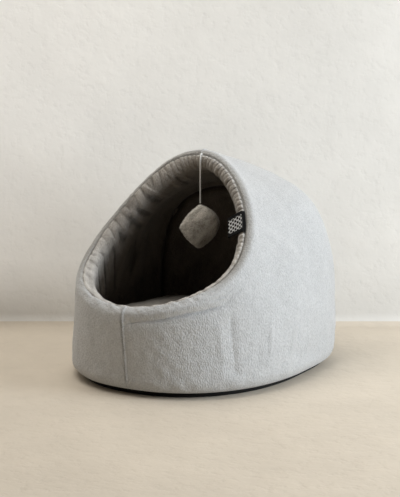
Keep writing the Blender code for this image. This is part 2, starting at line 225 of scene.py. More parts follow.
def unit(vectors):
    return vectors / np.linalg.norm(vectors, axis=-1, keepdims=True)


def points_at(x, y, z):
    """Rows of points; a coordinate may be one number for all of them."""
    return np.stack(np.broadcast_arrays(x, y, z), axis=-1)


def smooth_step(value, low, high):
    part = np.clip((value - low) / (high - low), 0.0, 1.0)
    return part * part * (3.0 - 2.0 * part)


def bell(value, width):
    """1 where the value is 0, dying away to both sides."""
    return np.exp(-(value / width) ** 2)


def smooth_between(before, low, high, after, part):
    """A place between low and high on the smooth curve through four values."""
    bend = 2.0 * before - 5.0 * low + 4.0 * high - after
    twist = 3.0 * low - before - 3.0 * high + after
    return low + 0.5 * part * ((high - before) + part * (bend + part * twist))


def from_rows(angle, column):
    """Smooth value between the rows of WALL_HANDLES, mirrored at the front and back seams."""
    values = np.array([row[column] for row in WALL_HANDLES])
    values = np.concatenate([[values[1]], values, [values[-2]]])
    place = np.abs((angle + math.pi) % (2.0 * math.pi) - math.pi) / (math.pi / 4.0)
    row = np.clip(np.floor(place).astype(int), 0, 3)
    return smooth_between(*(values[row + step] for step in range(4)), place - row)


def share(angle):
    """How much of a front, side or back value counts at an angle."""
    turn = np.cos(angle)
    front = ((1.0 + turn) / 2.0) ** 2
    back = ((1.0 - turn) / 2.0) ** 2
    return front, 1.0 - front - back, back


def plan_parts(angle, front, back):
    """Rounded outline: a softer oval at the front, a boxier one behind the widest place."""
    ahead = np.cos(angle) > 0.0
    power = 2.0 / np.where(ahead, FRONT_POWER, BACK_POWER)
    across = signed_power(np.sin(angle), power)
    forward = signed_power(np.cos(angle), power)
    return across, forward, np.where(ahead, front, back)


def plan(angle, half_width, front, back):
    across, forward, reach = plan_parts(angle, front, back)
    return half_width * across, WIDEST_Y - reach * forward


def plan_outward(angle):
    across, forward, reach = plan_parts(angle, FRONT_REACH, BACK_REACH)
    return unit(points_at(across / HALF_WIDTH, -forward / reach, 0.0))


def foot_angle(angle):
    return angle - MOUTH_TURN * np.sin(angle)


def foot_line(angle):
    x, y = plan(foot_angle(angle), HALF_WIDTH, FRONT_REACH, BACK_REACH)
    return points_at(x, y, FOOT_Z + TUCK_RISE)


def shoulder_line(angle):
    """The rim's shoulder: an egg-shaped oval on the slant from the lip to the apex."""
    along = (1.0 - np.cos(angle)) / 2.0
    run = APEX_Y - LIP_Y
    rise = APEX_Z - LIP_Z
    slant = math.hypot(run, rise)
    sag = 4.0 * MOUTH_SAG * along * (1.0 - along)
    return points_at(MOUTH_HALF_WIDTH * np.sin(angle) * (1.0 + MOUTH_EGG * np.cos(angle)),
                     LIP_Y + run * along + sag * rise / slant,
                     LIP_Z + rise * along - sag * run / slant)


def arrival(angle):
    """Direction in which the wall's skin reaches the shoulder."""
    front, side, back = (part[:, None] for part in share(angle))
    lean = points_at(ARRIVE_SIDE[0] * np.sin(angle), *ARRIVE_SIDE[1:])
    return unit(front * np.array(ARRIVE_FRONT) + 2.0 * side * lean + back * np.array(ARRIVE_BACK))


def skin(angle, climb):
    """Outer skin without its unevenness, for one angle each and one climb."""
    front, side, back = share(angle)
    middle = 2.0 * LEAN_SIDE - 0.5 * (LEAN_FRONT + LEAN_BACK)
    lean = front * LEAN_FRONT + side * middle + back * LEAN_BACK
    foot = foot_line(angle)
    shoulder = shoulder_line(angle)
    upward = unit(plan_outward(foot_angle(angle)) * lean[:, None] + UP)
    low = foot + upward * from_rows(angle, 1)[:, None]
    high = shoulder - arrival(angle) * from_rows(angle, 2)[:, None]
    rest = 1.0 - climb
    return (rest ** 3 * foot + 3.0 * rest ** 2 * climb * low
            + 3.0 * rest * climb ** 2 * high + climb ** 3 * shoulder)


def skin_outward(angle, climb):
    """Unit normal of the outer skin."""
    step = 0.004
    up = skin(angle, min(climb + step, 1.0)) - skin(angle, max(climb - step, 0.0))
    around = skin(angle + step, climb) - skin(angle - step, climb)
    return unit(np.cross(around, up))


def off_the_lip(degrees):
    """0 along the lip at the front, 1 on the slopes and over the apex."""
    return smooth_step(degrees, 38.0, 75.0)


def soft_relief(angle, points):
    """Shallow lumps of the padding, and the crease under the lip on the right half."""
    lumps = (np.sin(3.0 * angle + points[:, 2] / 46.0)
             * np.sin(points[:, 2] / 31.0 + 1.3 * np.cos(2.0 * angle)))
    degrees = np.degrees(angle)
    centre = CREASE_LOW_Z + CREASE_RISE * degrees / CREASE_END
    fade = np.clip((CREASE_END - degrees) / 25.0, 0.0, 1.0) * np.clip(degrees / 6.0, 0.0, 1.0)
    return LUMP * lumps - CREASE_DEPTH * bell(points[:, 2] - centre, CREASE_WIDTH) * fade


def roll_outward(angle, turn):
    around = math.radians(turn)
    return skin_outward(angle, 1.0) * math.cos(around) + arrival(angle) * math.sin(around)


def roll(angle, turn, radius):
    """The rim's round edge; turn is 0 at the shoulder and 180 degrees inside the mouth."""
    centre = shoulder_line(angle) - skin_outward(angle, 1.0) * ROLL_RADIUS
    return centre + radius * roll_outward(angle, turn)


def tuck(angle, turn):
    """The wall's rounded foot; turn is -90 degrees at the sole and 0 at the foot line."""
    around = math.radians(turn)
    inset = plan_outward(foot_angle(angle)) * (TUCK_INSET * (1.0 - math.cos(around)))
    return foot_line(angle) - inset + UP * (TUCK_RISE * math.sin(around))


def at_floor(points):
    return points_at(points[:, 0], points[:, 1], FOOT_Z)


def ripple(points, wave, seed):
    """Even, repeatable unevenness from -1 to 1, with bumps about one wave across."""
    turned = points * (2.0 * math.pi / wave)
    total = np.zeros(len(points))
    for order in range(4):
        mix = seed + 2.4 * order
        direction = np.array([math.sin(mix), math.cos(1.7 * mix), math.sin(2.3 * mix + 1.0)])
        direction *= (0.8 + 0.35 * order) / np.linalg.norm(direction)
        total += np.sin(turned @ direction + 3.1 * mix + 0.8 * np.sin(turned[:, 2] * 0.4 + mix))
    return total / 4.0


def uneven(points, rows):
    """Ripples laid over one another: each row is a height, a wave and a seed."""
    return sum(height * ripple(points, wave, seed) for height, wave, seed in rows)


def scatter(order, seed):
    """A repeatable number from 0 to 1 for each whole number."""
    value = np.sin(order * 12.9898 + seed * 78.233) * 43758.5453
    return float(value - np.floor(value))


def creased(points, folds):
    """Height at each point of all creases and puffs, which die away at both ends."""
    total = np.zeros(len(points))
    for height, width, line in folds:
        away, place = along_line(points, line)
        ends = np.sin(math.pi * np.clip(place, 0.03, 0.97)) ** 0.6
        sharpness = RIDGE_SHARPNESS if height > 0.0 else VALLEY_SHARPNESS
        total += height * ends * np.exp(-(away / width) ** sharpness)
    return total


def along_line(points, line):
    """Distance of each point from a polyline, and its place along it from 0 to 1."""
    line = np.array(line, float)
    lengths = np.linalg.norm(np.diff(line, axis=0), axis=1)
    best = np.full(len(points), 1e9)
    place = np.zeros(len(points))
    before = 0.0
    for low, high, length in zip(line, line[1:], lengths):
        run = (high - low) / length
        part = np.clip((points - low) @ run, 0.0, length)
        away = np.linalg.norm(points - low - part[:, None] * run, axis=1)
        nearer = away < best
        best[nearer] = away[nearer]
        place[nearer] = (before + part[nearer]) / lengths.sum()
        before += length
    return best, place


def run_along(line):
    """The way along a line of points at each of them."""
    steps = np.linalg.norm(np.diff(line, axis=0), axis=1)
    return np.concatenate([[0.0], np.cumsum(steps)])


def through(points, step):
    """Places about a step apart on a smooth curve through the points."""
    points = np.array(points, float)
    padded = np.concatenate([[2.0 * points[0] - points[1]], points,
                             [2.0 * points[-1] - points[-2]]])
    out = [points[0]]
    for index in range(len(points) - 1):
        near = padded[index:index + 4]
        count = max(int(round(np.linalg.norm(near[2] - near[1]) / step)), 1)
        out += [smooth_between(*near, order / count) for order in range(1, count + 1)]
    return np.array(out)


# ---------------------------------------------------------------- mesh helpers

def piece_mesh(name, sections, close_columns=False):
    """A mesh through points (columns, rows, 3), closed round its rows, flat on open ends."""
    columns, rows = sections.shape[:2]
    index = np.arange(columns * rows).reshape(columns, rows)
    next_column = np.roll(index, -1, axis=0)
    next_row = np.roll(index, -1, axis=1)
    quads = np.stack([index, next_column, np.roll(next_column, -1, axis=1), next_row], axis=-1)
    ends = []
    if not close_columns:
        quads = quads[:-1]
        ends = [index[0].tolist(), index[-1][::-1].tolist()]
    mesh = bpy.data.meshes.new(name)
    mesh.from_pydata((sections.reshape(-1, 3) * MM).tolist(), [],
                     quads.reshape(-1, 4).tolist() + ends)
    return mesh


def link(name, data):
    made = bpy.data.objects.new(name, data)
    bpy.context.scene.collection.objects.link(made)
    return made


def write_out(shape, mesh):
    """Write a closed shape to a mesh with all its faces outward."""
    bmesh.ops.recalc_face_normals(shape, faces=shape.faces)
    if shape.calc_volume(signed=True) < 0.0:
        bmesh.ops.reverse_faces(shape, faces=shape.faces)
    shape.to_mesh(mesh)
    shape.free()
    return mesh


def put_in_scene(mesh, sharp_degrees=50.0):
    shape = bmesh.new()
    shape.from_mesh(mesh)
    write_out(shape, mesh)
    mesh.shade_smooth()
    mesh.set_sharp_from_angle(angle=math.radians(sharp_degrees))
    return link(mesh.name, mesh)


def finish_piece(made, material, replaced=None):
    """Give a piece its material and its body, and hide the frame's node that it stands for."""
    made.data.materials.clear()
    made.data.materials.append(material)
    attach(made, "root")
    if replaced:
        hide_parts(replaced)
    return made


def give_numbers(mesh, name, numbers):
    """Keep one number for each point of a mesh, for its material to read."""
    kept = mesh.attributes.new(name, "FLOAT", "POINT")
    kept.data.foreach_set("value", np.asarray(numbers, np.float32).ravel())


def read_rows(items, field):
    """Places or normals of a mesh, as rows of three numbers."""
    numbers = np.empty(len(items) * 3, np.float32)
    items.foreach_get(field, numbers)
    return numbers.reshape(-1, 3)


def bare(made):
    """The plain mesh that an object's modifiers make; the modifiers are removed."""
    graph = bpy.context.evaluated_depsgraph_get()
    mesh = bpy.data.meshes.new_from_object(made.evaluated_get(graph))
    made.modifiers.clear()
    return mesh


# ---------------------------------------------------------------- materials

class Nodes:
    """Short ways to add, feed and join the nodes of one tree."""

    def __init__(self, tree):
        self.tree = tree

    def feed(self, node, inputs):
        """Give a node's inputs their values, or join them to other nodes' outputs."""
        for key, value in inputs.items():
            socket = node.inputs[key]
            if isinstance(value, bpy.types.NodeSocket):
                self.tree.links.new(value, socket)
            elif socket.type == "RGBA":
                socket.default_value = (*value, 1.0)
            else:
                socket.default_value = value
        return node

    def add(self, kind, inputs=None, **settings):
        node = self.tree.nodes.new(kind)
        for name, value in settings.items():
            setattr(node, name, value)
        return self.feed(node, inputs or {})

    def place(self):
        return self.add("ShaderNodeTexCoord").outputs["Object"]

    def split(self, vector):
        return self.add("ShaderNodeSeparateXYZ", {"Vector": vector}).outputs

    def noise(self, vector, scale, detail=2.0, roughness=0.5):
        return self.add("ShaderNodeTexNoise", {"Vector": vector, "Scale": scale, "Detail": detail,
                                               "Roughness": roughness}).outputs["Fac"]

    def spread(self, value, low, high, to_low=0.0, to_high=1.0):
        return self.add("ShaderNodeMapRange",
                        {"Value": value, "From Min": low, "From Max": high,
                         "To Min": to_low, "To Max": to_high}).outputs["Result"]

    def math(self, operation, first, second=0.0):
        node = self.add("ShaderNodeMath", {0: first, 1: second}, operation=operation)
        return node.outputs["Value"]

    def blend(self, part, first, second, kind="MIX"):
        return self.add("ShaderNodeMix", {"Factor": part, "A": first, "B": second},
                        data_type="RGBA", blend_type=kind).outputs["Result"]

    def stretched(self, vector, scale, turn=(0.0, 0.0, 0.0)):
        return self.add("ShaderNodeMapping", {"Vector": vector, "Scale": scale,
                                              "Rotation": turn}).outputs["Vector"]

    def woven(self, vector, *threads):
        """A weave with so many threads along each part of a vector."""
        return self.add("ShaderNodeGroup", {"Vector": self.stretched(vector, threads)},
                        node_tree=weave_group()).outputs

    def cover(self, shader, colour, height, distance, strength):
        """Join a colour and a raised surface to a Principled node."""
        bump = self.add("ShaderNodeBump", {"Distance": distance, "Strength": strength,
                                           "Height": height})
        self.feed(shader, {"Base Color": colour, "Normal": bump.outputs["Normal"]})


def group_tree(name, inputs, outputs, kind="ShaderNodeTree"):
    """A new node group: its helper, its inputs' sockets and its output node."""
    tree = bpy.data.node_groups.new(name, kind)
    for label, socket_kind, value in inputs:
        socket = tree.interface.new_socket(label, in_out="INPUT",
                                           socket_type="NodeSocket" + socket_kind)
        if value is not None:
            socket.default_value = value
    for label, socket_kind in outputs:
        tree.interface.new_socket(label, in_out="OUTPUT", socket_type="NodeSocket" + socket_kind)
    source = tree.nodes.new("NodeGroupInput")
    return Nodes(tree), source.outputs, tree.nodes.new("NodeGroupOutput")


def pile_group():
    """Short velvet pile: brushed patches, clouds, grain and fibre ends, also as height."""
    if "pile" in bpy.data.node_groups:
        return bpy.data.node_groups["pile"]
    nodes, given, target = group_tree(
        "pile",
        (("Vector", "Vector", None),
         ("Shade", "Color", (0.3, 0.3, 0.3, 1.0)),
         ("Tip", "Color", (0.6, 0.6, 0.6, 1.0)),
         ("Brushing", "Float", 0.18),
         ("Patches", "Float", 24.0),
         ("Cloud", "Float", 75.0),
         ("Grain", "Float", 560.0),
         ("Fibre", "Float", 950.0)),
        (("Color", "Color"), ("Height", "Float")))
    brushed = nodes.stretched(given["Vector"], (1.0, 1.0, 0.36))
    laid = nodes.stretched(given["Vector"], (1.0, 1.0, 0.6))
    patches = nodes.noise(brushed, given["Patches"], 4.0, 0.62)
    cloud = nodes.noise(laid, given["Cloud"], 2.0, 0.6)
    grain = nodes.noise(laid, given["Grain"], 1.0, 0.6)
    fibre = nodes.noise(laid, given["Fibre"], 2.0, 0.7)
    speckle = nodes.math("ADD", nodes.spread(grain, 0.32, 0.68, 0.0, 0.61),
                         nodes.spread(fibre, 0.25, 0.75, 0.0, 0.27))
    speckle = nodes.math("ADD", speckle, nodes.spread(cloud, 0.34, 0.66, 0.0, 0.12))
    brushing = given["Brushing"]
    total = nodes.math("ADD", nodes.math("MULTIPLY", nodes.spread(patches, 0.36, 0.64), brushing),
                       nodes.math("MULTIPLY", speckle, nodes.math("SUBTRACT", 1.0, brushing)))
    height = nodes.math("ADD", nodes.spread(fibre, 0.2, 0.8, 0.0, 0.35),
                        nodes.spread(grain, 0.3, 0.7, 0.0, 1.0))
    nodes.feed(target, {"Color": nodes.blend(total, given["Shade"], given["Tip"]),
                        "Height": height})
    return nodes.tree


def weave_group():
    """Plain weave on a vector in thread counts: over and under by turns, with rounded threads."""
    if "weave" in bpy.data.node_groups:
        return bpy.data.node_groups["weave"]
    nodes, given, target = group_tree("weave", (("Vector", "Vector", None),),
                                      (("Height", "Float"), ("Warp", "Float")))
    split = nodes.split(given["Vector"])
    waves = [nodes.math("SINE", nodes.math("MULTIPLY", split[axis], math.pi)) for axis in "XY"]
    threads = []
    for wave, other, turned in ((*waves, 1.0), (*reversed(waves), -1.0)):
        lift = nodes.math("MULTIPLY", other, nodes.math("SIGN", wave))
        lift = nodes.math("MULTIPLY", lift, turned)
        threads.append(nodes.math("MULTIPLY", nodes.math("ABSOLUTE", wave),
                                  nodes.spread(lift, -1.0, 1.0)))
    nodes.feed(target, {"Height": nodes.math("MAXIMUM", *threads),
                        "Warp": nodes.math("GREATER_THAN", *threads)})
    return nodes.tree


def cloth_material(name, roughness, sheen, sheen_roughness, sheen_tint=(1.0, 1.0, 1.0)):
    """A new cloth material: returns it, its node helper and its Principled node."""
    made = bpy.data.materials.new(name)
    made.use_nodes = True
    nodes = Nodes(made.node_tree)
    shader = nodes.feed(made.node_tree.nodes["Principled BSDF"],
                        {"Roughness": roughness, "Specular IOR Level": 0.15,
                         "Sheen Weight": sheen, "Sheen Roughness": sheen_roughness,
                         "Sheen Tint": sheen_tint})
    return made, nodes, shader


def toned(colour, by):
    return tuple(by * part for part in colour)


PILE_HEIGHT = 0.0007


def plush_material(name, settings, sheen, patches=24.0, lay=(0.0, 0.0, 0.0), brushing=0.18,
                   tints=()):
    """Velvet of one colour family, darkened with painted shade where the piece's own numbers say
    so.
    """
    made, nodes, shader = cloth_material(name, 0.92, sheen, 0.42, (0.95, 0.95, 0.95))
    laid = nodes.stretched(nodes.place(), (1.0, 1.0, 1.0), lay)
    pile = nodes.add("ShaderNodeGroup",
                     {"Vector": laid, "Shade": settings.shade, "Tip": settings.tip,
                      "Patches": patches, "Brushing": brushing}, node_tree=pile_group())
    colour = pile.outputs["Color"]
    for attribute, tint in tints:
        amount = nodes.add("ShaderNodeAttribute", attribute_name=attribute).outputs["Fac"]
        colour = nodes.blend(nodes.spread(amount, 0.0, 1.0), colour,
                             nodes.blend(1.0, colour, tint, "MULTIPLY"))
    nodes.cover(shader, colour, pile.outputs["Height"], PILE_HEIGHT, 1.0)
    return made


# ---------------------------------------------------------------- what a user would change

def colour_property(name, description, default):
    return bpy.props.FloatVectorProperty(name=name, description=description, default=default,
                                         subtype="COLOR", size=3, min=0.0, max=1.0)


def length_property(name, description, default):
    return bpy.props.FloatProperty(name=name, description=description, default=default,
                                   unit="LENGTH", min=0.0)


class CaveShellSettings(bpy.types.PropertyGroup):
    shade: colour_property("Pile shade", "Colour between the fibres", (0.405, 0.408, 0.408))
    tip: colour_property("Pile tip", "Colour of the brushed fibre ends", (0.62, 0.624, 0.624))
    # Painted shade: the colour is multiplied by this on the rim's roll, away from the lip.
    painted_roll_shade: colour_property("Seam tint", "What the colour is multiplied by along the rim seam",
                             (0.67, 0.645, 0.61))
    seam_depth: length_property("Seam depth", "How deep the centre seams pull in", 0.0018)
    seam_width: length_property("Seam width", "Half the width of a seam's groove", 0.0013)


class CaveLiningSettings(bpy.types.PropertyGroup):
    shade: colour_property("Lining shade", "Colour between the fibres", (0.40, 0.38, 0.352))
    tip: colour_property("Lining tip", "Colour of the brushed fibre ends", (0.72, 0.692, 0.65))
    # Painted shade: the lining's colour is multiplied by this far inside the mouth, and sooner on
    # the slopes than at the lip.
    inside: colour_property("Inside tint", "What the colour is multiplied by far inside",
                            (0.38, 0.338, 0.295))
    # Painted shade: the lining's colour is multiplied by this in the folds' and gathers' hollows
    # and along the arch seam.
    crease_shade: colour_property("Valley tint", "What the colour is multiplied by in the folds",
                            (0.22, 0.20, 0.18))
    gather_height: length_property("Gather height", "Height of a full gather", 0.0037)
    gather_pitch: length_property("Gather pitch", "Width of a gather at the apex", 0.0077)


class CavePadSettings(bpy.types.PropertyGroup):
    shade: colour_property("Pad shade", "Colour between the fibres", (0.27, 0.25, 0.225))
    tip: colour_property("Pad tip", "Colour of the brushed fibre ends", (0.45, 0.42, 0.38))
    voxel: length_property("Voxel", "Cell of the cloth mesh before it is filled", 0.005)
    swell: length_property("Swell", "How far the filling may push the cloth", 0.006)


class CaveToySettings(bpy.types.PropertyGroup):
    shade: colour_property("Toy shade", "Colour between the fibres", (0.27, 0.25, 0.215))
    tip: colour_property("Toy tip", "Colour of the brushed fibre ends", (0.95, 0.90, 0.82))
    # Painted shade: the toy's colour is multiplied by this on its right and lower side.
    painted_side_shade: colour_property("Lay tint", "What the colour is multiplied by where it lies over",
                               (0.46, 0.445, 0.42))
    cord: colour_property("Cord", "Colour of the cord", (0.86, 0.85, 0.82))
    ply_pitch: length_property("Twist", "Length of one turn of the cord's plies", 0.0048)


class CaveTrimSettings(bpy.types.PropertyGroup):
    tag: colour_property("Tag", "Colour of the tag's ground", (0.004, 0.004, 0.004))
    tag_thread: colour_property("Tag thread", "Colour of the tag's woven check", (0.8, 0.8, 0.8))
    sole: colour_property("Sole", "Colour of the sole's coated cloth", (0.004, 0.004, 0.004))
    thread: colour_property("Thread", "Colour of the sewing thread", (0.30, 0.29, 0.27))
    stitch: length_property("Stitch", "Length of one stitch", 0.0026)
    pitch: length_property("Stitch pitch", "From one stitch to the next", 0.0034)


class CaveStageSettings(bpy.types.PropertyGroup):
    floor: colour_property("Floor", "Colour of the floor", (0.63, 0.56, 0.465))
    wall: colour_property("Wall", "Colour of the wall", (0.69, 0.672, 0.635))
    wall_behind: length_property("Wall distance", "From the view's target to the wall", 0.285)


# ---------------------------------------------------------------- shell

SHELL_COLUMNS = 401
FOOT_ROWS = 18
WALL_ROWS = 150
ROLL_ROWS = 20
FOAM_ROWS = 9
# How much the columns crowd at the front seam, at the side's middle and at the back seam.
COLUMN_CROWDING = 0.04

# Unevenness: rows of height and wave in mm, and seed. The lip's is shared with the lining.
SHELL_LUMPS = ((0.45, 34.0, 1.0), (0.25, 13.0, 4.0))
SHELL_NAP = ((0.35, 17.0, 9.0),)
HEM_SAG = ((1.3, 41.0, 3.0),)
ROLL_LUMPS = ((0.5, 11.0, 6.0),)
LIP_RIPPLE = (16.0, 5.0)
NAP_TOP_Z = 130.0

# The seam allowance that stands up to the right of the centre seams, in mm.
EDGE_HEIGHT = 2.2
EDGE_X = 2.9
EDGE_WIDTH = 1.4


def shell_relief(angles, points, settings):
    """Everything uneven on the outer plush, in mm along its normal."""
    off_seam = np.abs(points[:, 0])
    groove = (settings.seam_depth / MM * bell(off_seam, settings.seam_width / MM)
              + 0.5 * bell(off_seam, 6.0))
    turned_edge = EDGE_HEIGHT * bell(points[:, 0] - EDGE_X, EDGE_WIDTH)
    pucker = 0.3 * np.exp(-off_seam / 7.0) * np.sin(points[:, 2] / 1.9 + ripple(points, 30.0, 2.0))
    upright = points * np.array([1.0, 1.0, 0.25])
    nap = uneven(upright, SHELL_NAP) * smooth_step(NAP_TOP_Z - points[:, 2], 0.0, 50.0)
    return (soft_relief(angles, points) + creased(points, SHELL_FOLDS)
            + uneven(points, SHELL_LUMPS) + nap + turned_edge + pucker - groove)


def shell_sections(side, settings):
    """Points of one half of the shell: foot, wall, rim roll, seam groove and hidden foam face.

    The second result says how much painted shade the rim's roll gets at each point.
    """
    spaced = np.linspace(0.0, 1.0, SHELL_COLUMNS)
    angles = side * math.pi * (spaced - COLUMN_CROWDING * np.sin(4.0 * math.pi * spaced))
    off_lip = off_the_lip(np.degrees(np.abs(angles)))
    rows = []
    painted_roll_shade = []

    def add_row(points, outward, relief, tint=0.0):
        rows.append(points + outward * relief[:, None])
        painted_roll_shade.append(off_lip * tint)

    for turn in np.linspace(-90.0, 0.0, FOOT_ROWS)[:-1]:
        points = tuck(angles, turn)
        level = math.cos(math.radians(turn))
        relief = smooth_step(turn, -85.0, -20.0) * shell_relief(angles, points, settings)
        add_row(points, plan_outward(foot_angle(angles)) * level,
                relief + uneven(points, HEM_SAG) * level)
    for climb in np.linspace(0.0, 1.0, WALL_ROWS):
        points = skin(angles, climb)
        sag = uneven(points, HEM_SAG) * max(0.0, 1.0 - 6.0 * climb)
        add_row(points, skin_outward(angles, climb), shell_relief(angles, points, settings) + sag)
    for turn in np.linspace(5.0, SEAM_TURN, ROLL_ROWS):
        points = roll(angles, turn, ROLL_RADIUS)
        into_seam = smooth_step(turn, SEAM_TURN - 12.0, SEAM_TURN)
        relief = shell_relief(angles, points, settings) * (1.0 - 0.7 * into_seam)
        relief += uneven(points, ROLL_LUMPS) * smooth_step(turn, 10.0, 40.0)
        relief += (1.1 * (1.0 - off_lip) * ripple(points, *LIP_RIPPLE)
                   * smooth_step(turn, 15.0, 60.0))
        relief -= (0.7 + 1.2 * off_lip) * into_seam
        # The roll gets painted shade from a little past its shoulder to the seam.
        add_row(points, roll_outward(angles, turn), relief, smooth_step(turn, 8.0, 48.0))
    rows += [roll(angles, turn, FOAM_ROLL) for turn in (SEAM_TURN + 3.0, 100.0, 130.0, 156.0)]
    rows += [skin(angles, climb) - skin_outward(angles, climb) * FOAM_THICK
             for climb in np.linspace(1.0, 0.0, FOAM_ROWS)]
    rows.append(at_floor(rows[-1]))
    painted_roll_shade += [painted_roll_shade[-1]] * (len(rows) - len(painted_roll_shade))
    sections = np.stack(rows, axis=1)
    sections[:, :, 0] = side * np.maximum(side * sections[:, :, 0], 0.5 * GAP)
    return sections, np.stack(painted_roll_shade, axis=1)


class CaveShell(bpy.types.Operator):
    """Make the two padded halves of the outer shell"""

    bl_idname = "cave.shell"
    bl_label = "Shell halves"

    def execute(self, context):
        settings = context.scene.cave_shell
        # The shell's plush is darkened with painted shade on the rim's roll.
        plush = plush_material("shell_plush", settings, 0.35, brushing=0.12,
                               tints=(("painted_roll_shade", settings.painted_roll_shade),))
        for name, side in (("left", -1.0), ("right", 1.0)):
            sections, painted_roll_shade = shell_sections(side, settings)
            mesh = piece_mesh(f"plush_{name}", sections)
            give_numbers(mesh, "painted_roll_shade", painted_roll_shade)
            made = finish_piece(put_in_scene(mesh), plush, f"shell_{name}")
        return {"FINISHED"}


# ---------------------------------------------------------------- lining

# The gathers run from one side of the mouth over the apex to the other, in degrees.
GATHER_FROM = 72.0
GATHER_TO = 288.0
PLAIN_COLUMNS = 110
GATHERED_COLUMNS = 690

LOOSE_CLOTH = ((0.55, 52.0, 6.0), (0.4, 17.0, 7.0))
# The arch seam's puffs and groove fade in between these two ways inwards from the rim seam.
ARCH_SEAM_RAMP = (40.0, 60.0)
# How far the lining's own surface lies under its resting place before its relief is added.
LINING_SINK = 0.4
# How far the lining's hidden side stands off the foam.
OFF_FOAM = 0.9


def gather_columns():
    """Angles of the lining's columns: dense where the cloth is gathered."""
    plain = np.linspace(-GATHER_FROM, GATHER_FROM, PLAIN_COLUMNS, endpoint=False)
    gathered = np.linspace(GATHER_FROM, GATHER_TO, GATHERED_COLUMNS, endpoint=False)
    return np.radians(np.concatenate([plain, gathered]))


def seam_ruler():
    """Degrees from the start of the gathers to their end, and the way along the rim seam."""
    degrees = np.arange(GATHER_FROM, GATHER_TO + 0.1, 0.25)
    return degrees, run_along(roll(np.radians(degrees), SEAM_TURN, ROLL_RADIUS))


def gather_table(settings):
    """Each gather: its place along the seam, width, height, length and drift, in mm."""
    degrees, along = seam_ruler()
    rows = []
    place = 2.0
    while place < along[-1]:
        loose = smooth_step(float(np.interp(place, along, degrees)), 198.0, 222.0)
        chance = [scatter(len(rows), seed) for seed in (1.0, 2.0, 3.0, 4.0)]
        step = settings.gather_pitch / MM * (0.85 + 0.3 * chance[0]
                                             + loose * (0.3 + 1.2 * chance[1]))
        tall = (settings.gather_height / MM * (0.6 + 0.6 * chance[2])
                * (1.0 - 0.75 * loose * chance[3]))
        length = 14.0 + 9.0 * chance[3] + loose * (4.0 + 28.0 * chance[1] ** 2)
        drift = 0.12 * (chance[2] - 0.5) + loose * (0.15 + 0.3 * chance[0])
        rows.append((place, 0.51 * step, tall, length, drift))
        place += step
    return rows


def gather_relief(along, inward, table):
    """Height of the gathers: rounded puffs with sharp valleys between them."""
    total = np.zeros(len(along))
    for place, width, height, length, drift in table:
        centre = place + drift * inward + 0.4 * math.sin(inward / 4.0 + place)
        spread = width * (1.0 + 0.35 * min(inward / length, 1.5))
        across = np.clip(np.abs(along - centre) / spread, 0.0, 1.0)
        fade = math.exp(-(inward / length) ** 2.2)
        total = np.maximum(total, height * fade * (1.0 - across ** 2) ** 0.75)
    return total * (0.3 + 0.7 * (1.0 - math.exp(-inward / 2.0)))


def lining_relief(points, along, degrees, inward, table):
    """Everything uneven on the visible side of the lining, in mm towards the mouth."""
    relief = (creased(points, LINING_FOLDS)
              + uneven(points, LOOSE_CLOTH) * smooth_step(inward, 4.0, 20.0))
    if table:
        side = smooth_step(degrees, GATHER_FROM, GATHER_FROM + 26.0)
        relief = relief + side * gather_relief(along, inward, table)
        lip = (1.0 - side) * math.exp(-inward / 16.0)
        relief = relief + 1.3 * lip * ripple(points, *LIP_RIPPLE)
    off_arch = points[:, 1] - ARCH_Y
    seam = bell(np.abs(off_arch) - 8.0, 4.0) - 3.4 * bell(off_arch, 5.0)
    return relief + seam * smooth_step(inward, *ARCH_SEAM_RAMP)


def in_shade(degrees, inward):
    """Painted shade, from 0 at the rim to 1 far inside; the slopes get more of it than the lip."""
    slope_shade = 46.0 * smooth_step(degrees, 66.0, 96.0) * smooth_step(inward, 1.2, 4.0)
    return np.clip((inward - 14.0 + slope_shade) / 75.0, 0.0, 1.0)


def in_crease_shade(relief, points, degrees, inward):
    """Painted shade in creases, from 0 on the crests to 1 in the arch seam: the gathers' and
    folds' valleys lie between.
    """
    full = smooth_step(degrees, GATHER_FROM + 4.0, GATHER_FROM + 30.0) * bell(inward, 26.0)
    level = 0.2 + 1.6 * full
    seam = bell(points[:, 1] - ARCH_Y, 6.0) * smooth_step(inward, *ARCH_SEAM_RAMP)
    return np.maximum(0.72 * smooth_step(level - relief, -0.2, 1.5), seam)


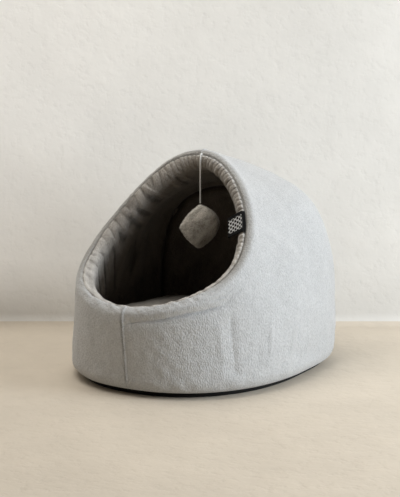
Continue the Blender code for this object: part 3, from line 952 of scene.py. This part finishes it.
def lining_sections(settings, gathered):
    """Points of the lining's sheet, the painted shade of each one far inside, and its painted
    shade in the folds.
    """
    angles = gather_columns() if gathered else np.radians(np.arange(0.0, 360.0, 1.5))
    degrees = np.degrees(angles)
    along = np.interp(degrees, *seam_ruler(), left=-1e3)
    degrees = np.abs((degrees + 180.0) % 360.0 - 180.0)
    table = gather_table(settings) if gathered else []
    rows = []
    inside_shades = []
    valleys = []

    def add_row(points, outward, reached, part=1.0, sink=0.0):
        inward = float(np.mean(reached))
        relief = lining_relief(points, along, degrees, inward, table) * part - sink
        rows.append(points + outward * relief[:, None])
        inside_shades.append(in_shade(degrees, reached))
        valleys.append(in_crease_shade(relief, points, degrees, inward))

    reached = 0.0
    for turn in np.concatenate([[SEAM_TURN + 1.5], np.linspace(SEAM_TURN + 4.0, 172.0, 27)]):
        reached = math.radians(turn - SEAM_TURN) * ROLL_RADIUS
        out_of_seam = 1.0 - smooth_step(turn, SEAM_TURN, SEAM_TURN + 11.0)
        add_row(roll(angles, turn, LINING_REST - LINING_SINK), roll_outward(angles, turn), reached,
                sink=(0.6 + 1.2 * off_the_lip(degrees)) * out_of_seam)
    last = rows[-1]
    for climb in np.concatenate([np.linspace(1.0, 0.5, 46), np.linspace(0.48, 0.0, 22)]):
        outward = skin_outward(angles, climb)
        base = skin(angles, climb) - outward * (ROLL_RADIUS + LINING_REST - LINING_SINK)
        reached = reached + np.linalg.norm(base - last, axis=1)
        last = base
        add_row(base, -outward, reached, part=smooth_step(climb, 0.0, 0.1))
    rows.append(at_floor(rows[-1]))
    below = [skin(angles, climb) - skin_outward(angles, climb) * (FOAM_THICK + OFF_FOAM)
             for climb in np.linspace(0.0, 1.0, 8)]
    rows += [at_floor(below[0]), *below]
    rows += [roll(angles, turn, FOAM_ROLL + OFF_FOAM) for turn in (150.0, 125.0, 100.0, 80.0)]
    rows.append(roll(angles, SEAM_TURN + 3.0, FOAM_ROLL + 0.7))
    for numbers in (inside_shades, valleys):
        numbers += [numbers[-1]] * (len(rows) - len(numbers))
    return tuple(np.stack(kept, axis=1) for kept in (rows, inside_shades, valleys))


def cut_at_arch(mesh, keep_front):
    """Cut a lining at the upright plane of the arch seam and close the cut."""
    away = 1.0 if keep_front else -1.0
    shape = bmesh.new()
    shape.from_mesh(mesh)
    bmesh.ops.bisect_plane(shape, geom=shape.verts[:] + shape.edges[:] + shape.faces[:],
                           plane_co=(0.0, (ARCH_Y - away * GAP / 2.0) * MM, 0.0),
                           plane_no=(0.0, away, 0.0), clear_outer=True, dist=1e-6)
    open_edges = [edge for edge in shape.edges if edge.is_boundary]
    filled = bmesh.ops.edgeloop_fill(shape, edges=open_edges)["faces"]
    bmesh.ops.triangulate(shape, faces=filled, ngon_method="EAR_CLIP")
    shape.to_mesh(mesh)
    shape.free()


class CaveLining(bpy.types.Operator):
    """Make the gathered lining of the mouth and the panel behind its arch seam"""

    bl_idname = "cave.lining"
    bl_label = "Lining"

    def execute(self, context):
        settings = context.scene.cave_lining
        # The lining's plush gets painted shade far inside the mouth and in its folds.
        plush = plush_material("lining_plush", settings, 0.3, patches=32.0, brushing=0.32,
                               tints=(("depth", settings.inside), ("crease_shade", settings.crease_shade)))
        for name, gathered in (("tunnel", True), ("back", False)):
            sections, inside_shades, valleys = lining_sections(settings, gathered)
            mesh = piece_mesh(f"cloth_{name}", sections, close_columns=True)
            give_numbers(mesh, "depth", inside_shades)
            give_numbers(mesh, "crease_shade", valleys)
            cut_at_arch(mesh, keep_front=gathered)
            finish_piece(put_in_scene(mesh), plush, f"lining_{name}")
        return {"FINISHED"}


# ---------------------------------------------------------------- filled pieces

STUFFING_FRAMES = 20
CLOTH_SETTINGS = {"quality": 6,
                  "mass": 0.25,
                  "tension_stiffness": 12.0,
                  "compression_stiffness": 12.0,
                  "shear_stiffness": 6.0,
                  "bending_stiffness": 0.8,
                  "use_pressure": True}


def fill_with_stuffing(made, voxel, pressure, swell):
    """Blow a closed cloth up a little, cap how far it moves, and leave it a plain mesh."""
    remesh = made.modifiers.new("remesh", "REMESH")
    remesh.mode = "VOXEL"
    remesh.voxel_size = voxel
    remesh.use_smooth_shade = True
    made.data = bare(made)
    before = read_rows(made.data.vertices, "co")
    cloth = made.modifiers.new("cloth", "CLOTH")
    for name, value in CLOTH_SETTINGS.items():
        setattr(cloth.settings, name, value)
    cloth.settings.uniform_pressure_force = pressure
    cloth.settings.effector_weights.gravity = 0.0
    cloth.point_cache.frame_start = 1
    cloth.point_cache.frame_end = STUFFING_FRAMES
    for number in range(1, STUFFING_FRAMES + 1):
        bpy.context.scene.frame_set(number)
    filled = bare(made)
    bpy.context.scene.frame_set(1)
    moved = read_rows(filled.vertices, "co") - before
    length = np.linalg.norm(moved, axis=1, keepdims=True)
    capped = before + moved * np.minimum(1.0, swell / np.maximum(length, 1e-9))
    filled.vertices.foreach_set("co", capped.astype(np.float32).ravel())
    made.data = filled
    finer = made.modifiers.new("finer", "SUBSURF")
    finer.levels = 1
    finer.render_levels = 1
    made.data = bare(made)
    made.data.shade_smooth()


def moved_points(mesh, rule):
    """Move every point of a mesh by a rule that takes and gives points and normals in mm."""
    places = read_rows(mesh.vertices, "co").astype(float) / MM
    new = rule(places, read_rows(mesh.vertex_normals, "vector").astype(float))
    mesh.vertices.foreach_set("co", (new * MM).astype(np.float32).ravel())
    mesh.update()


# The pad's outline from the bottom up, as the frame has it.
#               inset  height
PAD_PROFILE = ((60.0, 0.0),
               (26.0, 0.6),
               (9.0, 8.0),
               (2.0, 22.0),
               (0.5, 36.0),
               (2.0, 50.0),
               (8.0, 63.0),
               (20.0, 71.5),
               (40.0, 75.5),
               (80.0, 78.0))
PAD_SEAM_Z = 44.0
# The filled middle: where it is, how wide, how high it rises, and how far over the solid, in mm.
PAD_MIDDLE_X = -60.0
PAD_MIDDLE_Y = -25.0
PAD_MIDDLE_WIDTH = 125.0
PAD_MIDDLE_RISE = 8.5
PAD_OVER_BOX = 9.5
PAD_SLACK = ((1.1, 52.0, 3.0), (0.5, 21.0, 8.0))


def pad_start():
    """The pad's closed cloth before it is filled, a little wide because its sides draw in."""
    angles = np.linspace(0.0, 2.0 * math.pi, 96, endpoint=False)
    shape = bmesh.new()
    loops = []
    for inset, height in PAD_PROFILE:
        x, y = plan(angles, PAD_HALF_WIDTH + 5.0 - inset, PAD_FRONT + 11.0 - inset,
                    PAD_BACK + 7.0 - inset)
        ring = points_at(x, y, FOOT_Z + 3.5 + height * 0.9)
        loops.append([shape.verts.new(point * MM) for point in ring])
    for near, far in zip(loops, loops[1:]):
        for low in range(len(near)):
            high = (low + 1) % len(near)
            shape.faces.new((near[low], near[high], far[high], far[low]))
    shape.faces.new(loops[0])
    shape.faces.new(loops[-1])
    return link("floor_pad", write_out(shape, bpy.data.meshes.new("floor_pad")))


def pad_finish(points, normals):
    """Edge seam with puckers, slack wrinkles on top, and a flat underside."""
    angle = np.arctan2(points[:, 0], WIDEST_Y - points[:, 1])
    off_seam = points[:, 2] - PAD_SEAM_Z - 1.5 * np.sin(5.0 * angle)
    pucker = 0.9 * np.exp(-np.abs(off_seam) / 9.0) * np.sin(74.0 * angle + np.sin(9.0 * angle))
    on_top = smooth_step(points[:, 2], 62.0, 74.0)
    slack = on_top * uneven(points, PAD_SLACK)
    new = points + normals * (pucker + slack - 2.2 * bell(off_seam, 2.2))[:, None]
    off_middle = np.hypot(points[:, 0] - PAD_MIDDLE_X, points[:, 1] - PAD_MIDDLE_Y)
    new[:, 2] += PAD_MIDDLE_RISE * on_top * bell(off_middle, PAD_MIDDLE_WIDTH)
    low, high = (np.array(corner) / MM for corner in PAD_BOX)
    new[:, 2] = np.clip(new[:, 2], low[2], high[2] + PAD_OVER_BOX)
    return new


class CavePad(bpy.types.Operator):
    """Make the filled floor pad"""

    bl_idname = "cave.pad"
    bl_label = "Floor pad"

    def execute(self, context):
        settings = context.scene.cave_pad
        made = pad_start()
        fill_with_stuffing(made, settings.voxel, 4.0, settings.swell)
        moved_points(made.data, pad_finish)
        plush = plush_material("cushion_plush", settings, 0.25)
        finish_piece(made, plush, "cushion")
        return {"FINISHED"}


# ---------------------------------------------------------------- toy and cord

TOY_CELLS = 26
TOY_SLACK = ((0.35, 18.0, 2.0),)


def toy_point(across, down, out):
    """From the toy's own plane into the cave's axes, in mm."""
    return TOY_TOP + across * TOY_RIGHT + out * TOY_OUT - down * UP


def toy_flat(u, v):
    """A place on the toy's four-cornered outline, its sides bowed a little outward."""
    top, right, bottom, left = TOY_CORNERS
    low = top * (1.0 - u) + right * u
    high = left * (1.0 - u) + bottom * u
    place = low * (1.0 - v) + high * v
    bow = TOY_BULGE * (math.sin(math.pi * u) * abs(2.0 * v - 1.0)
                       + math.sin(math.pi * v) * abs(2.0 * u - 1.0))
    away = place - (top + left + bottom + right) / 4.0
    length = max(float(np.linalg.norm(away)), 1e-6)
    shoulder = 3.4 * math.sin(math.pi * u ** 1.5) * (1.0 - v) ** 1.5
    hip = 3.0 * math.sin(math.pi * v ** 0.8) * u ** 2
    return place + away / length * (bow + shoulder + hip)


def toy_start():
    """The toy's closed cloth before it is filled: two grids that share their edge."""
    shape = bmesh.new()
    grids = []
    for face in (1.0, -1.0):
        grid = {}
        for i in range(TOY_CELLS + 1):
            for j in range(TOY_CELLS + 1):
                edge = i in (0, TOY_CELLS) or j in (0, TOY_CELLS)
                if edge and grids:
                    grid[i, j] = grids[0][i, j]
                    continue
                u = i / TOY_CELLS
                v = j / TOY_CELLS
                full = (16.0 * u * (1.0 - u) * v * (1.0 - v)) ** 0.5
                out = face * max(TOY_PLUMP * full, 0.9)
                place = toy_point(*toy_flat(u, v), 0.0 if edge else out)
                grid[i, j] = shape.verts.new(place * MM)
        grids.append(grid)
    for grid in grids:
        for i in range(TOY_CELLS):
            for j in range(TOY_CELLS):
                shape.faces.new((grid[i, j], grid[i + 1, j], grid[i + 1, j + 1], grid[i, j + 1]))
    return link("stuffed_toy", write_out(shape, bpy.data.meshes.new("stuffed_toy")))


def toy_finish(points, normals):
    """The sewn edge as a thin ridge beside a groove, with puckers that run in from it."""
    out = np.abs((points - TOY_TOP) @ TOY_OUT)
    pucker = 0.35 * np.exp(-out / 5.0) * np.sin(points[:, 2] / 0.9)
    groove = 0.7 * bell(out - 1.8, 0.9)
    return points + normals * (uneven(points, TOY_SLACK) + pucker - groove)[:, None]


def toy_side_shade(mesh):
    """Painted shade on the toy's right and lower side, from 0 to 1."""
    places = read_rows(mesh.vertices, "co").astype(float) / MM - TOY_TOP
    return smooth_step(places @ TOY_RIGHT + 0.35 * (-places[:, 2] - 35.0), -16.0, 20.0)


class CaveToy(bpy.types.Operator):
    """Make the stuffed toy that hangs at the apex"""

    bl_idname = "cave.toy"
    bl_label = "Stuffed toy"

    def execute(self, context):
        settings = context.scene.cave_toy
        made = toy_start()
        fill_with_stuffing(made, 0.0016, 3.0, 0.0018)
        moved_points(made.data, toy_finish)
        # Painted shade darkens the toy's right and lower side.
        give_numbers(made.data, "painted_side_shade", toy_side_shade(made.data))
        plush = plush_material("toy_plush", settings, 0.35, patches=90.0, lay=(0.0, -0.8, 0.0),
                               brushing=0.6, tints=(("painted_side_shade", settings.painted_side_shade),))
        finish_piece(made, plush, "toy")
        return {"FINISHED"}


def twisted_tube(line, pitch, plies, sides):
    """Rings of the cord's twisted plies along a line."""
    tangent = unit(np.gradient(line, axis=0))
    side = unit(np.cross(tangent, np.array([1.0, 0.0, 0.0])))[:, None]
    other = np.cross(tangent, side[:, 0])[:, None]
    around = np.linspace(0.0, 2.0 * math.pi, sides, endpoint=False)
    twist = 2.0 * math.pi * run_along(line)[:, None] / pitch
    lobe = np.abs(np.cos(0.5 * plies * (around - twist)))[:, :, None]
    around = around[:, None]
    return line[:, None] + CORD_RADIUS * (0.80 + 0.20 * lobe) * (
        side * np.cos(around) + other * np.sin(around))


class CaveCord(bpy.types.Operator):
    """Make the twisted cord that the toy hangs on"""

    bl_idname = "cave.cord"
    bl_label = "Toy cord"

    def execute(self, context):
        settings = context.scene.cave_toy
        flat = through(CORD_ROUTE, 0.35)
        line = points_at(CORD_X, flat[:, 0], flat[:, 1])
        rings = twisted_tube(line, settings.ply_pitch / MM, 3, 18)
        made = put_in_scene(piece_mesh("hanging_cord", rings))
        material, nodes, shader = cloth_material("cord_thread", 0.8, 0.2, 0.4)
        fibre = nodes.noise(nodes.stretched(nodes.place(), (1.0, 1.0, 0.3)), 2600.0, 2.0, 0.7)
        colour = nodes.blend(nodes.spread(fibre, 0.3, 0.6), toned(settings.cord, 0.55),
                             settings.cord)
        nodes.cover(shader, colour, fibre, 0.0002, 0.6)
        finish_piece(made, material, "toy_cord")
        return {"FINISHED"}


# ---------------------------------------------------------------- sole and tag

def drawn_in(ring, part):
    """A ring of the sole drawn in towards its middle."""
    return points_at(ring[:, 0] * part, (ring[:, 1] - WIDEST_Y) * part + WIDEST_Y, ring[:, 2])


class CaveSole(bpy.types.Operator):
    """Make the flat sole of coated cloth"""

    bl_idname = "cave.sole"
    bl_label = "Sole"

    def execute(self, context):
        angles = np.linspace(0.0, 2.0 * math.pi, 240, endpoint=False)
        inward = plan_outward(foot_angle(angles))
        edge = foot_line(angles) - inward * SOLE_INSET
        rows = []
        for around in np.radians(np.linspace(-90.0, 90.0, 11)):
            ring = edge - inward * (2.4 * (1.0 - math.cos(around)))
            ring[:, 2] = SOLE_THICK / 2.0 * (1.0 + math.sin(around))
            rows.append(ring)
        rows = ([drawn_in(rows[0], part) for part in (0.35, 0.7, 0.93)] + rows
                + [drawn_in(rows[-1], part) for part in (0.93, 0.5)])
        made = put_in_scene(piece_mesh("sole_cloth", np.stack(rows, axis=0)))
        material, nodes, shader = cloth_material("sole_weave", 0.62, 0.05, 0.5)
        height = nodes.woven(nodes.place(), 1400.0, 1400.0, 1400.0)["Height"]
        tone = context.scene.cave_trim.sole
        nodes.cover(shader, nodes.blend(height, tone, toned(tone, 2.0)), height, 0.0003, 0.5)
        finish_piece(made, material, "sole")
        return {"FINISHED"}


TAG_CELLS = 26
# The tag leaves the rim's roll at this turn, in degrees.
TAG_LEAVES_AT = 92.0
RIBBON_THREADS = 64.0
CHECK_THREADS = 10.0
# Where the check lies on each face: its edges across and along the ribbon, in parts of it.
CHECK_EDGES = (("X", 0.16, 0.84), ("Y", 0.20, 0.86))


def tag_sections():
    """The folded ribbon: out of the seam over the roll, round its fold and back under itself."""
    angles = np.radians(np.linspace(TAG_FROM, TAG_TO, TAG_CELLS))
    outward = skin_outward(angles, 1.0)
    turns = np.linspace(SEAM_TURN, TAG_LEAVES_AT, 10)
    lifts = 1.0 + TAG_LIFT * smooth_step(turns, SEAM_TURN, 84.0)
    middle = [roll(angles, turn, LINING_REST + lift) for turn, lift in zip(turns, lifts)]
    normals = [roll_outward(angles, turn) for turn in turns]
    lift = normals[-1]
    wave = np.sin(np.linspace(0.0, math.pi, TAG_CELLS) + 0.4)[:, None]
    end_of_roll = middle[-1]
    for reach in np.linspace(0.0, TAG_REACH, 16)[1:]:
        curl = lift * (0.9 * wave * (reach / TAG_REACH) ** 2)
        middle.append(end_of_roll - outward * reach + curl)
        normals.append(lift)
    round_fold = [lift * math.cos(around) - outward * math.sin(around)
                  for around in np.radians((36.0, 72.0, 108.0, 144.0))]
    ways = normals + round_fold + [-normal for normal in normals[::-1]]
    path = middle + [middle[-1]] * len(round_fold) + middle[::-1]
    path = [place + way * TAG_LOOP for place, way in zip(path, ways)]
    half = 0.5 * TAG_CLOTH
    rows = [place + way * half for place, way in zip(path, ways)]
    rows += [place - way * half for place, way in zip(path[::-1], ways[::-1])]
    return np.stack(rows, axis=1)


def tag_material(settings):
    """Ribbon with a plain woven check of paler thread in the middle of each face."""
    made, nodes, shader = cloth_material("tag_ribbon", 0.9, 0.0, 0.4)
    place = nodes.add("ShaderNodeUVMap", uv_map="ribbon").outputs["UV"]
    weave = nodes.woven(place, RIBBON_THREADS, RIBBON_THREADS, 1.0)["Height"]
    mask = nodes.woven(place, CHECK_THREADS, CHECK_THREADS, 1.0)["Warp"]
    split = nodes.split(place)
    for axis, low, high in CHECK_EDGES:
        for operation, edge in (("GREATER_THAN", low), ("LESS_THAN", high)):
            mask = nodes.math("MULTIPLY", mask, nodes.math(operation, split[axis], edge))
    thread = nodes.blend(weave, (0.16, 0.16, 0.16), settings.tag_thread)
    nodes.cover(shader, nodes.blend(mask, settings.tag, thread), weave, 0.0003, 0.5)
    return made


class CaveTag(bpy.types.Operator):
    """Make the folded ribbon tag in the rim seam"""

    bl_idname = "cave.tag"
    bl_label = "Tag"

    def execute(self, context):
        sections = tag_sections()
        mesh = piece_mesh("ribbon_tag", sections)
        columns, rows = sections.shape[:2]
        layer = mesh.uv_layers.new(name="ribbon")
        for loop in mesh.loops:
            column, row = divmod(loop.vertex_index, rows)
            along = min(row, rows - 1 - row)
            out = min(along, rows // 2 - 1 - along) / (0.5 * (rows // 2))
            layer.data[loop.index].uv = (column / (columns - 1), out)
        made = put_in_scene(mesh, 60.0)
        finish_piece(made, tag_material(context.scene.cave_trim), "tag")
        return {"FINISHED"}


# ---------------------------------------------------------------- stitches

THREAD_RADIUS = 0.00032


def stitch_tree(material):
    """Geometry nodes: thread stitches at even steps along a curve, each lying along it."""
    nodes, given, target = group_tree(
        "stitches",
        (("Geometry", "Geometry", None),
         ("Pitch", "Float", 0.0034),
         ("Length", "Float", 0.0026),
         ("Thickness", "Float", 0.0003)),
        (("Geometry", "Geometry"),),
        "GeometryNodeTree")
    spaced = nodes.add("GeometryNodeCurveToPoints", {"Curve": given["Geometry"]}, mode="LENGTH")
    nodes.feed(spaced, {"Length": given["Pitch"]})
    ball = nodes.add("GeometryNodeMeshUVSphere", {"Segments": 6, "Rings": 5, "Radius": 1.0})
    half = nodes.math("MULTIPLY", given["Length"], 0.5)
    size = nodes.add("ShaderNodeCombineXYZ", {"X": given["Thickness"], "Y": given["Thickness"],
                                              "Z": half})
    placed = nodes.add("GeometryNodeInstanceOnPoints",
                       {"Points": spaced.outputs["Points"], "Instance": ball.outputs["Mesh"],
                        "Rotation": spaced.outputs["Rotation"], "Scale": size.outputs["Vector"]})
    real = nodes.add("GeometryNodeRealizeInstances", {"Geometry": placed.outputs["Instances"]})
    dressed = nodes.add("GeometryNodeSetMaterial", {"Geometry": real.outputs["Geometry"],
                                                    "Material": material})
    nodes.feed(target, {"Geometry": dressed.outputs["Geometry"]})
    return nodes.tree


def seam_curve(name, points, closed):
    curve = bpy.data.curves.new(name, "CURVE")
    curve.dimensions = "3D"
    spline = curve.splines.new("POLY")
    spline.points.add(len(points) - 1)
    for place, point in zip(spline.points, points):
        place.co = (*(point * MM), 1.0)
    spline.use_cyclic_u = closed
    return link(name, curve)


def seam_lines():
    """Where thread shows: name, points and whether the line closes on itself."""
    rim = roll(np.radians(np.arange(0.0, 360.0, 1.5)), SEAM_TURN + 1.0, ROLL_RADIUS - 1.55)
    lines = [("rim_stitches", rim, True)]
    for name, angle in (("front_stitches", 0.0), ("back_stitches", math.pi)):
        where = np.array([angle])
        points = [(skin(where, climb) - 1.9 * skin_outward(where, climb))[0]
                  for climb in np.linspace(0.0, 1.0, 70)]
        lines.append((name, np.array(points), False))
    sides = []
    corners = np.array([(0.0, 0.0), (1.0, 0.0), (1.0, 1.0), (0.0, 1.0)])
    for low, high in zip(corners, np.roll(corners, -1, axis=0)):
        for part in np.linspace(0.04, 0.96, 12):
            across, down = toy_flat(*(low * (1.0 - part) + high * part))
            sides.append(toy_point(across * 0.985, down * 0.985 + 0.5, 1.0))
    lines.append(("toy_stitches", np.array(sides), True))
    return lines


class CaveStitches(bpy.types.Operator):
    """Sew the rim, the centre seams and the toy with visible thread"""

    bl_idname = "cave.stitches"
    bl_label = "Stitches"

    def execute(self, context):
        settings = context.scene.cave_trim
        material, nodes, shader = cloth_material("sewing_thread", 0.6, 0.1, 0.4)
        fibre = nodes.noise(nodes.place(), 3000.0, 2.0, 0.6)
        nodes.feed(shader, {"Base Color": nodes.blend(fibre, toned(settings.thread, 0.6),
                                                      settings.thread)})
        tree = stitch_tree(material)
        sockets = {socket.name: socket.identifier for socket in tree.interface.items_tree
                   if socket.in_out == "INPUT"}
        for name, points, closed in seam_lines():
            path = seam_curve(name + "_path", points, closed)
            sewn = path.modifiers.new("sewn", "NODES")
            sewn.node_group = tree
            sewn[sockets["Pitch"]] = settings.pitch
            sewn[sockets["Length"]] = settings.stitch
            sewn[sockets["Thickness"]] = THREAD_RADIUS
            mesh = bare(path)
            bpy.data.objects.remove(path, do_unlink=True)
            if not mesh.polygons:
                raise RuntimeError(f"{name} came out empty")
            mesh.name = name
            mesh.shade_smooth()
            finish_piece(link(name, mesh), material)
        return {"FINISHED"}


# ---------------------------------------------------------------- stage

# Lights: name, azimuth, elevation, distance, size in m, power in W, colour.
LIGHTS = (("key", 94.0, 13.0, 1500.0, 0.9, 22.0, (0.87, 0.935, 1.0)),
          ("top", -30.0, 76.0, 1600.0, 1.3, 19.5, (1.0, 0.97, 0.92)),
          ("front", -20.0, 42.0, 1900.0, 1.1, 2.0, (1.0, 0.88, 0.76)))
# Floor and wall, in m: how far they reach, the bend between them, and a hair below the sole.
FLOOR_REACH = 3.0
FLOOR_HALF_WIDTH = 4.0
WALL_HEIGHT = 2.6
STAGE_BEND = 0.022
STAGE_SINK = 0.0002
# Strength of the wall's painted light: an emission that stands in for light where the object's
# shadow darkens the wall.
WALL_PAINTED_LIGHT = 0.36


def look_from(made, azimuth, elevation, distance):
    """Put a light or the camera at a place seen from the view's target, and turn it there."""
    around = math.radians(azimuth)
    up = math.radians(elevation)
    away = np.array([math.sin(around) * math.cos(up), -math.cos(around) * math.cos(up),
                     math.sin(up)])
    made.location = Vector((np.array(CAMERA_TARGET) + away * distance) * MM)
    direction = Vector(CAMERA_TARGET) * MM - made.location
    made.rotation_euler = direction.to_track_quat("-Z", "Y").to_euler()


def stage_material(name, tone, painted_light):
    """Softly clouded plaster, clear from behind; painted light, an emission, lifts it upwards and
    to the left, where the object's shadow falls.
    """
    made, nodes, shader = cloth_material(name, 0.9, 0.0, 0.5)
    place = nodes.place()
    cloud = nodes.noise(place, 6.0, 5.0, 0.62)
    pits = nodes.noise(place, 60.0, 3.0, 0.6)
    total = nodes.math("ADD", nodes.spread(cloud, 0.35, 0.65, 0.0, 0.8),
                       nodes.spread(pits, 0.3, 0.5, 0.0, 0.2))
    nodes.cover(shader, nodes.blend(total, toned(tone, 0.90), tone), total, 0.003, 0.5)
    split = nodes.split(place)
    lift = nodes.math("MULTIPLY", nodes.spread(split["Z"], 0.0, 0.12),
                      nodes.spread(split["X"], -0.45, 0.05, 1.0, 0.3))
    nodes.feed(shader, {"Emission Color": nodes.blend(lift, (0.0, 0.0, 0.0), tone),
                        "Emission Strength": painted_light})
    front = nodes.add("ShaderNodeNewGeometry").outputs["Backfacing"]
    clear = nodes.add("ShaderNodeBsdfTransparent").outputs["BSDF"]
    mixed = nodes.add("ShaderNodeMixShader", {"Fac": front, 1: shader.outputs["BSDF"], 2: clear})
    nodes.feed(made.node_tree.nodes["Material Output"], {"Surface": mixed.outputs["Shader"]})
    return made


def backdrop(settings):
    """Floor that bends up into a wall close behind the object, square to the view."""
    around = math.radians(CAMERA_AZIMUTH)
    view = np.array([-math.sin(around), math.cos(around), 0.0])
    right = np.array([math.cos(around), math.sin(around), 0.0])
    target = np.array([CAMERA_TARGET[0], CAMERA_TARGET[1], 0.0]) * MM
    start = settings.wall_behind - STAGE_BEND
    profile = [(-FLOOR_REACH, 0.0), (start, 0.0)]
    profile += [(start + STAGE_BEND * math.sin(part), STAGE_BEND * (1.0 - math.cos(part)))
                for part in np.radians(np.arange(10.0, 91.0, 10.0))]
    profile.append((settings.wall_behind, WALL_HEIGHT))
    for name, rows, colour, painted_light in (("floor", profile[:7], settings.floor, 0.0),
                                     ("floor_behind", [(start, 0.0), (FLOOR_REACH, 0.0)],
                                      settings.floor, 0.0),
                                     ("wall", profile[6:], settings.wall, WALL_PAINTED_LIGHT)):
        mesh = bpy.data.meshes.new(name)
        points = [target + view * run + right * side + UP * (rise - STAGE_SINK)
                  for side in (-FLOOR_HALF_WIDTH, FLOOR_HALF_WIDTH) for run, rise in rows]
        count = len(rows)
        faces = [(low, low + count, low + count + 1, low + 1) for low in range(count - 1)]
        mesh.from_pydata(points, [], faces)
        mesh.shade_smooth()
        mesh.materials.append(stage_material(name, tuple(colour), painted_light))
        link(name, mesh)


class CaveStage(bpy.types.Operator):
    """Make the floor, the wall, the lights and the camera"""

    bl_idname = "cave.stage"
    bl_label = "Stage"

    def execute(self, context):
        scene = context.scene
        backdrop(scene.cave_stage)
        for name, azimuth, elevation, distance, size, power, colour in LIGHTS:
            light = bpy.data.lights.new(name, "AREA")
            light.shape = "DISK"
            light.size = size
            light.energy = power
            light.color = colour
            look_from(link(name, light), azimuth, elevation, distance)
        world = bpy.data.worlds.new("studio")
        world.use_nodes = True
        Nodes(world.node_tree).feed(world.node_tree.nodes["Background"],
                                    {"Color": (1.0, 0.97, 0.93), "Strength": 0.035})
        scene.world = world
        scene.view_settings.view_transform = "Standard"
        lens = bpy.data.cameras.new("camera")
        lens.lens = CAMERA_LENS
        lens.sensor_width = 36.0
        lens.clip_end = 20.0
        scene.camera = link("camera", lens)
        look_from(scene.camera, CAMERA_AZIMUTH, CAMERA_ELEVATION, CAMERA_DISTANCE)
        return {"FINISHED"}


# ---------------------------------------------------------------- panel and registration

class CavePanel(bpy.types.Panel):
    bl_idname = "CAVE_PT_panel"
    bl_label = "Cat Cave"
    bl_space_type = "VIEW_3D"
    bl_region_type = "UI"
    bl_category = "Cat Cave"

    def draw(self, context):
        for operator in OPERATORS:
            self.layout.operator(operator.bl_idname)
        for name in SETTINGS:
            box = self.layout.box()
            group = getattr(context.scene, name)
            for key in group.__annotations__:
                box.prop(group, key)


OPERATORS = (CaveStage, CaveCord, CaveShell, CaveLining, CavePad, CaveSole, CaveToy, CaveTag,
             CaveStitches)
SETTINGS = {"cave_shell": CaveShellSettings,
            "cave_lining": CaveLiningSettings,
            "cave_pad": CavePadSettings,
            "cave_toy": CaveToySettings,
            "cave_trim": CaveTrimSettings,
            "cave_stage": CaveStageSettings}


def register():
    for made in (*SETTINGS.values(), *OPERATORS, CavePanel):
        bpy.utils.register_class(made)
    for name, group in SETTINGS.items():
        setattr(bpy.types.Scene, name, bpy.props.PointerProperty(type=group))


def unregister():
    for name in SETTINGS:
        delattr(bpy.types.Scene, name)
    for made in (CavePanel, *reversed(OPERATORS), *reversed(SETTINGS.values())):
        bpy.utils.unregister_class(made)


def main():
    register()
    bpy.ops.cave.stage()
    bpy.ops.cave.cord()
    bpy.ops.cave.shell()
    bpy.ops.cave.lining()
    bpy.ops.cave.pad()
    bpy.ops.cave.sole()
    bpy.ops.cave.toy()
    bpy.ops.cave.tag()
    bpy.ops.cave.stitches()


if __name__ == "__main__":
    main()
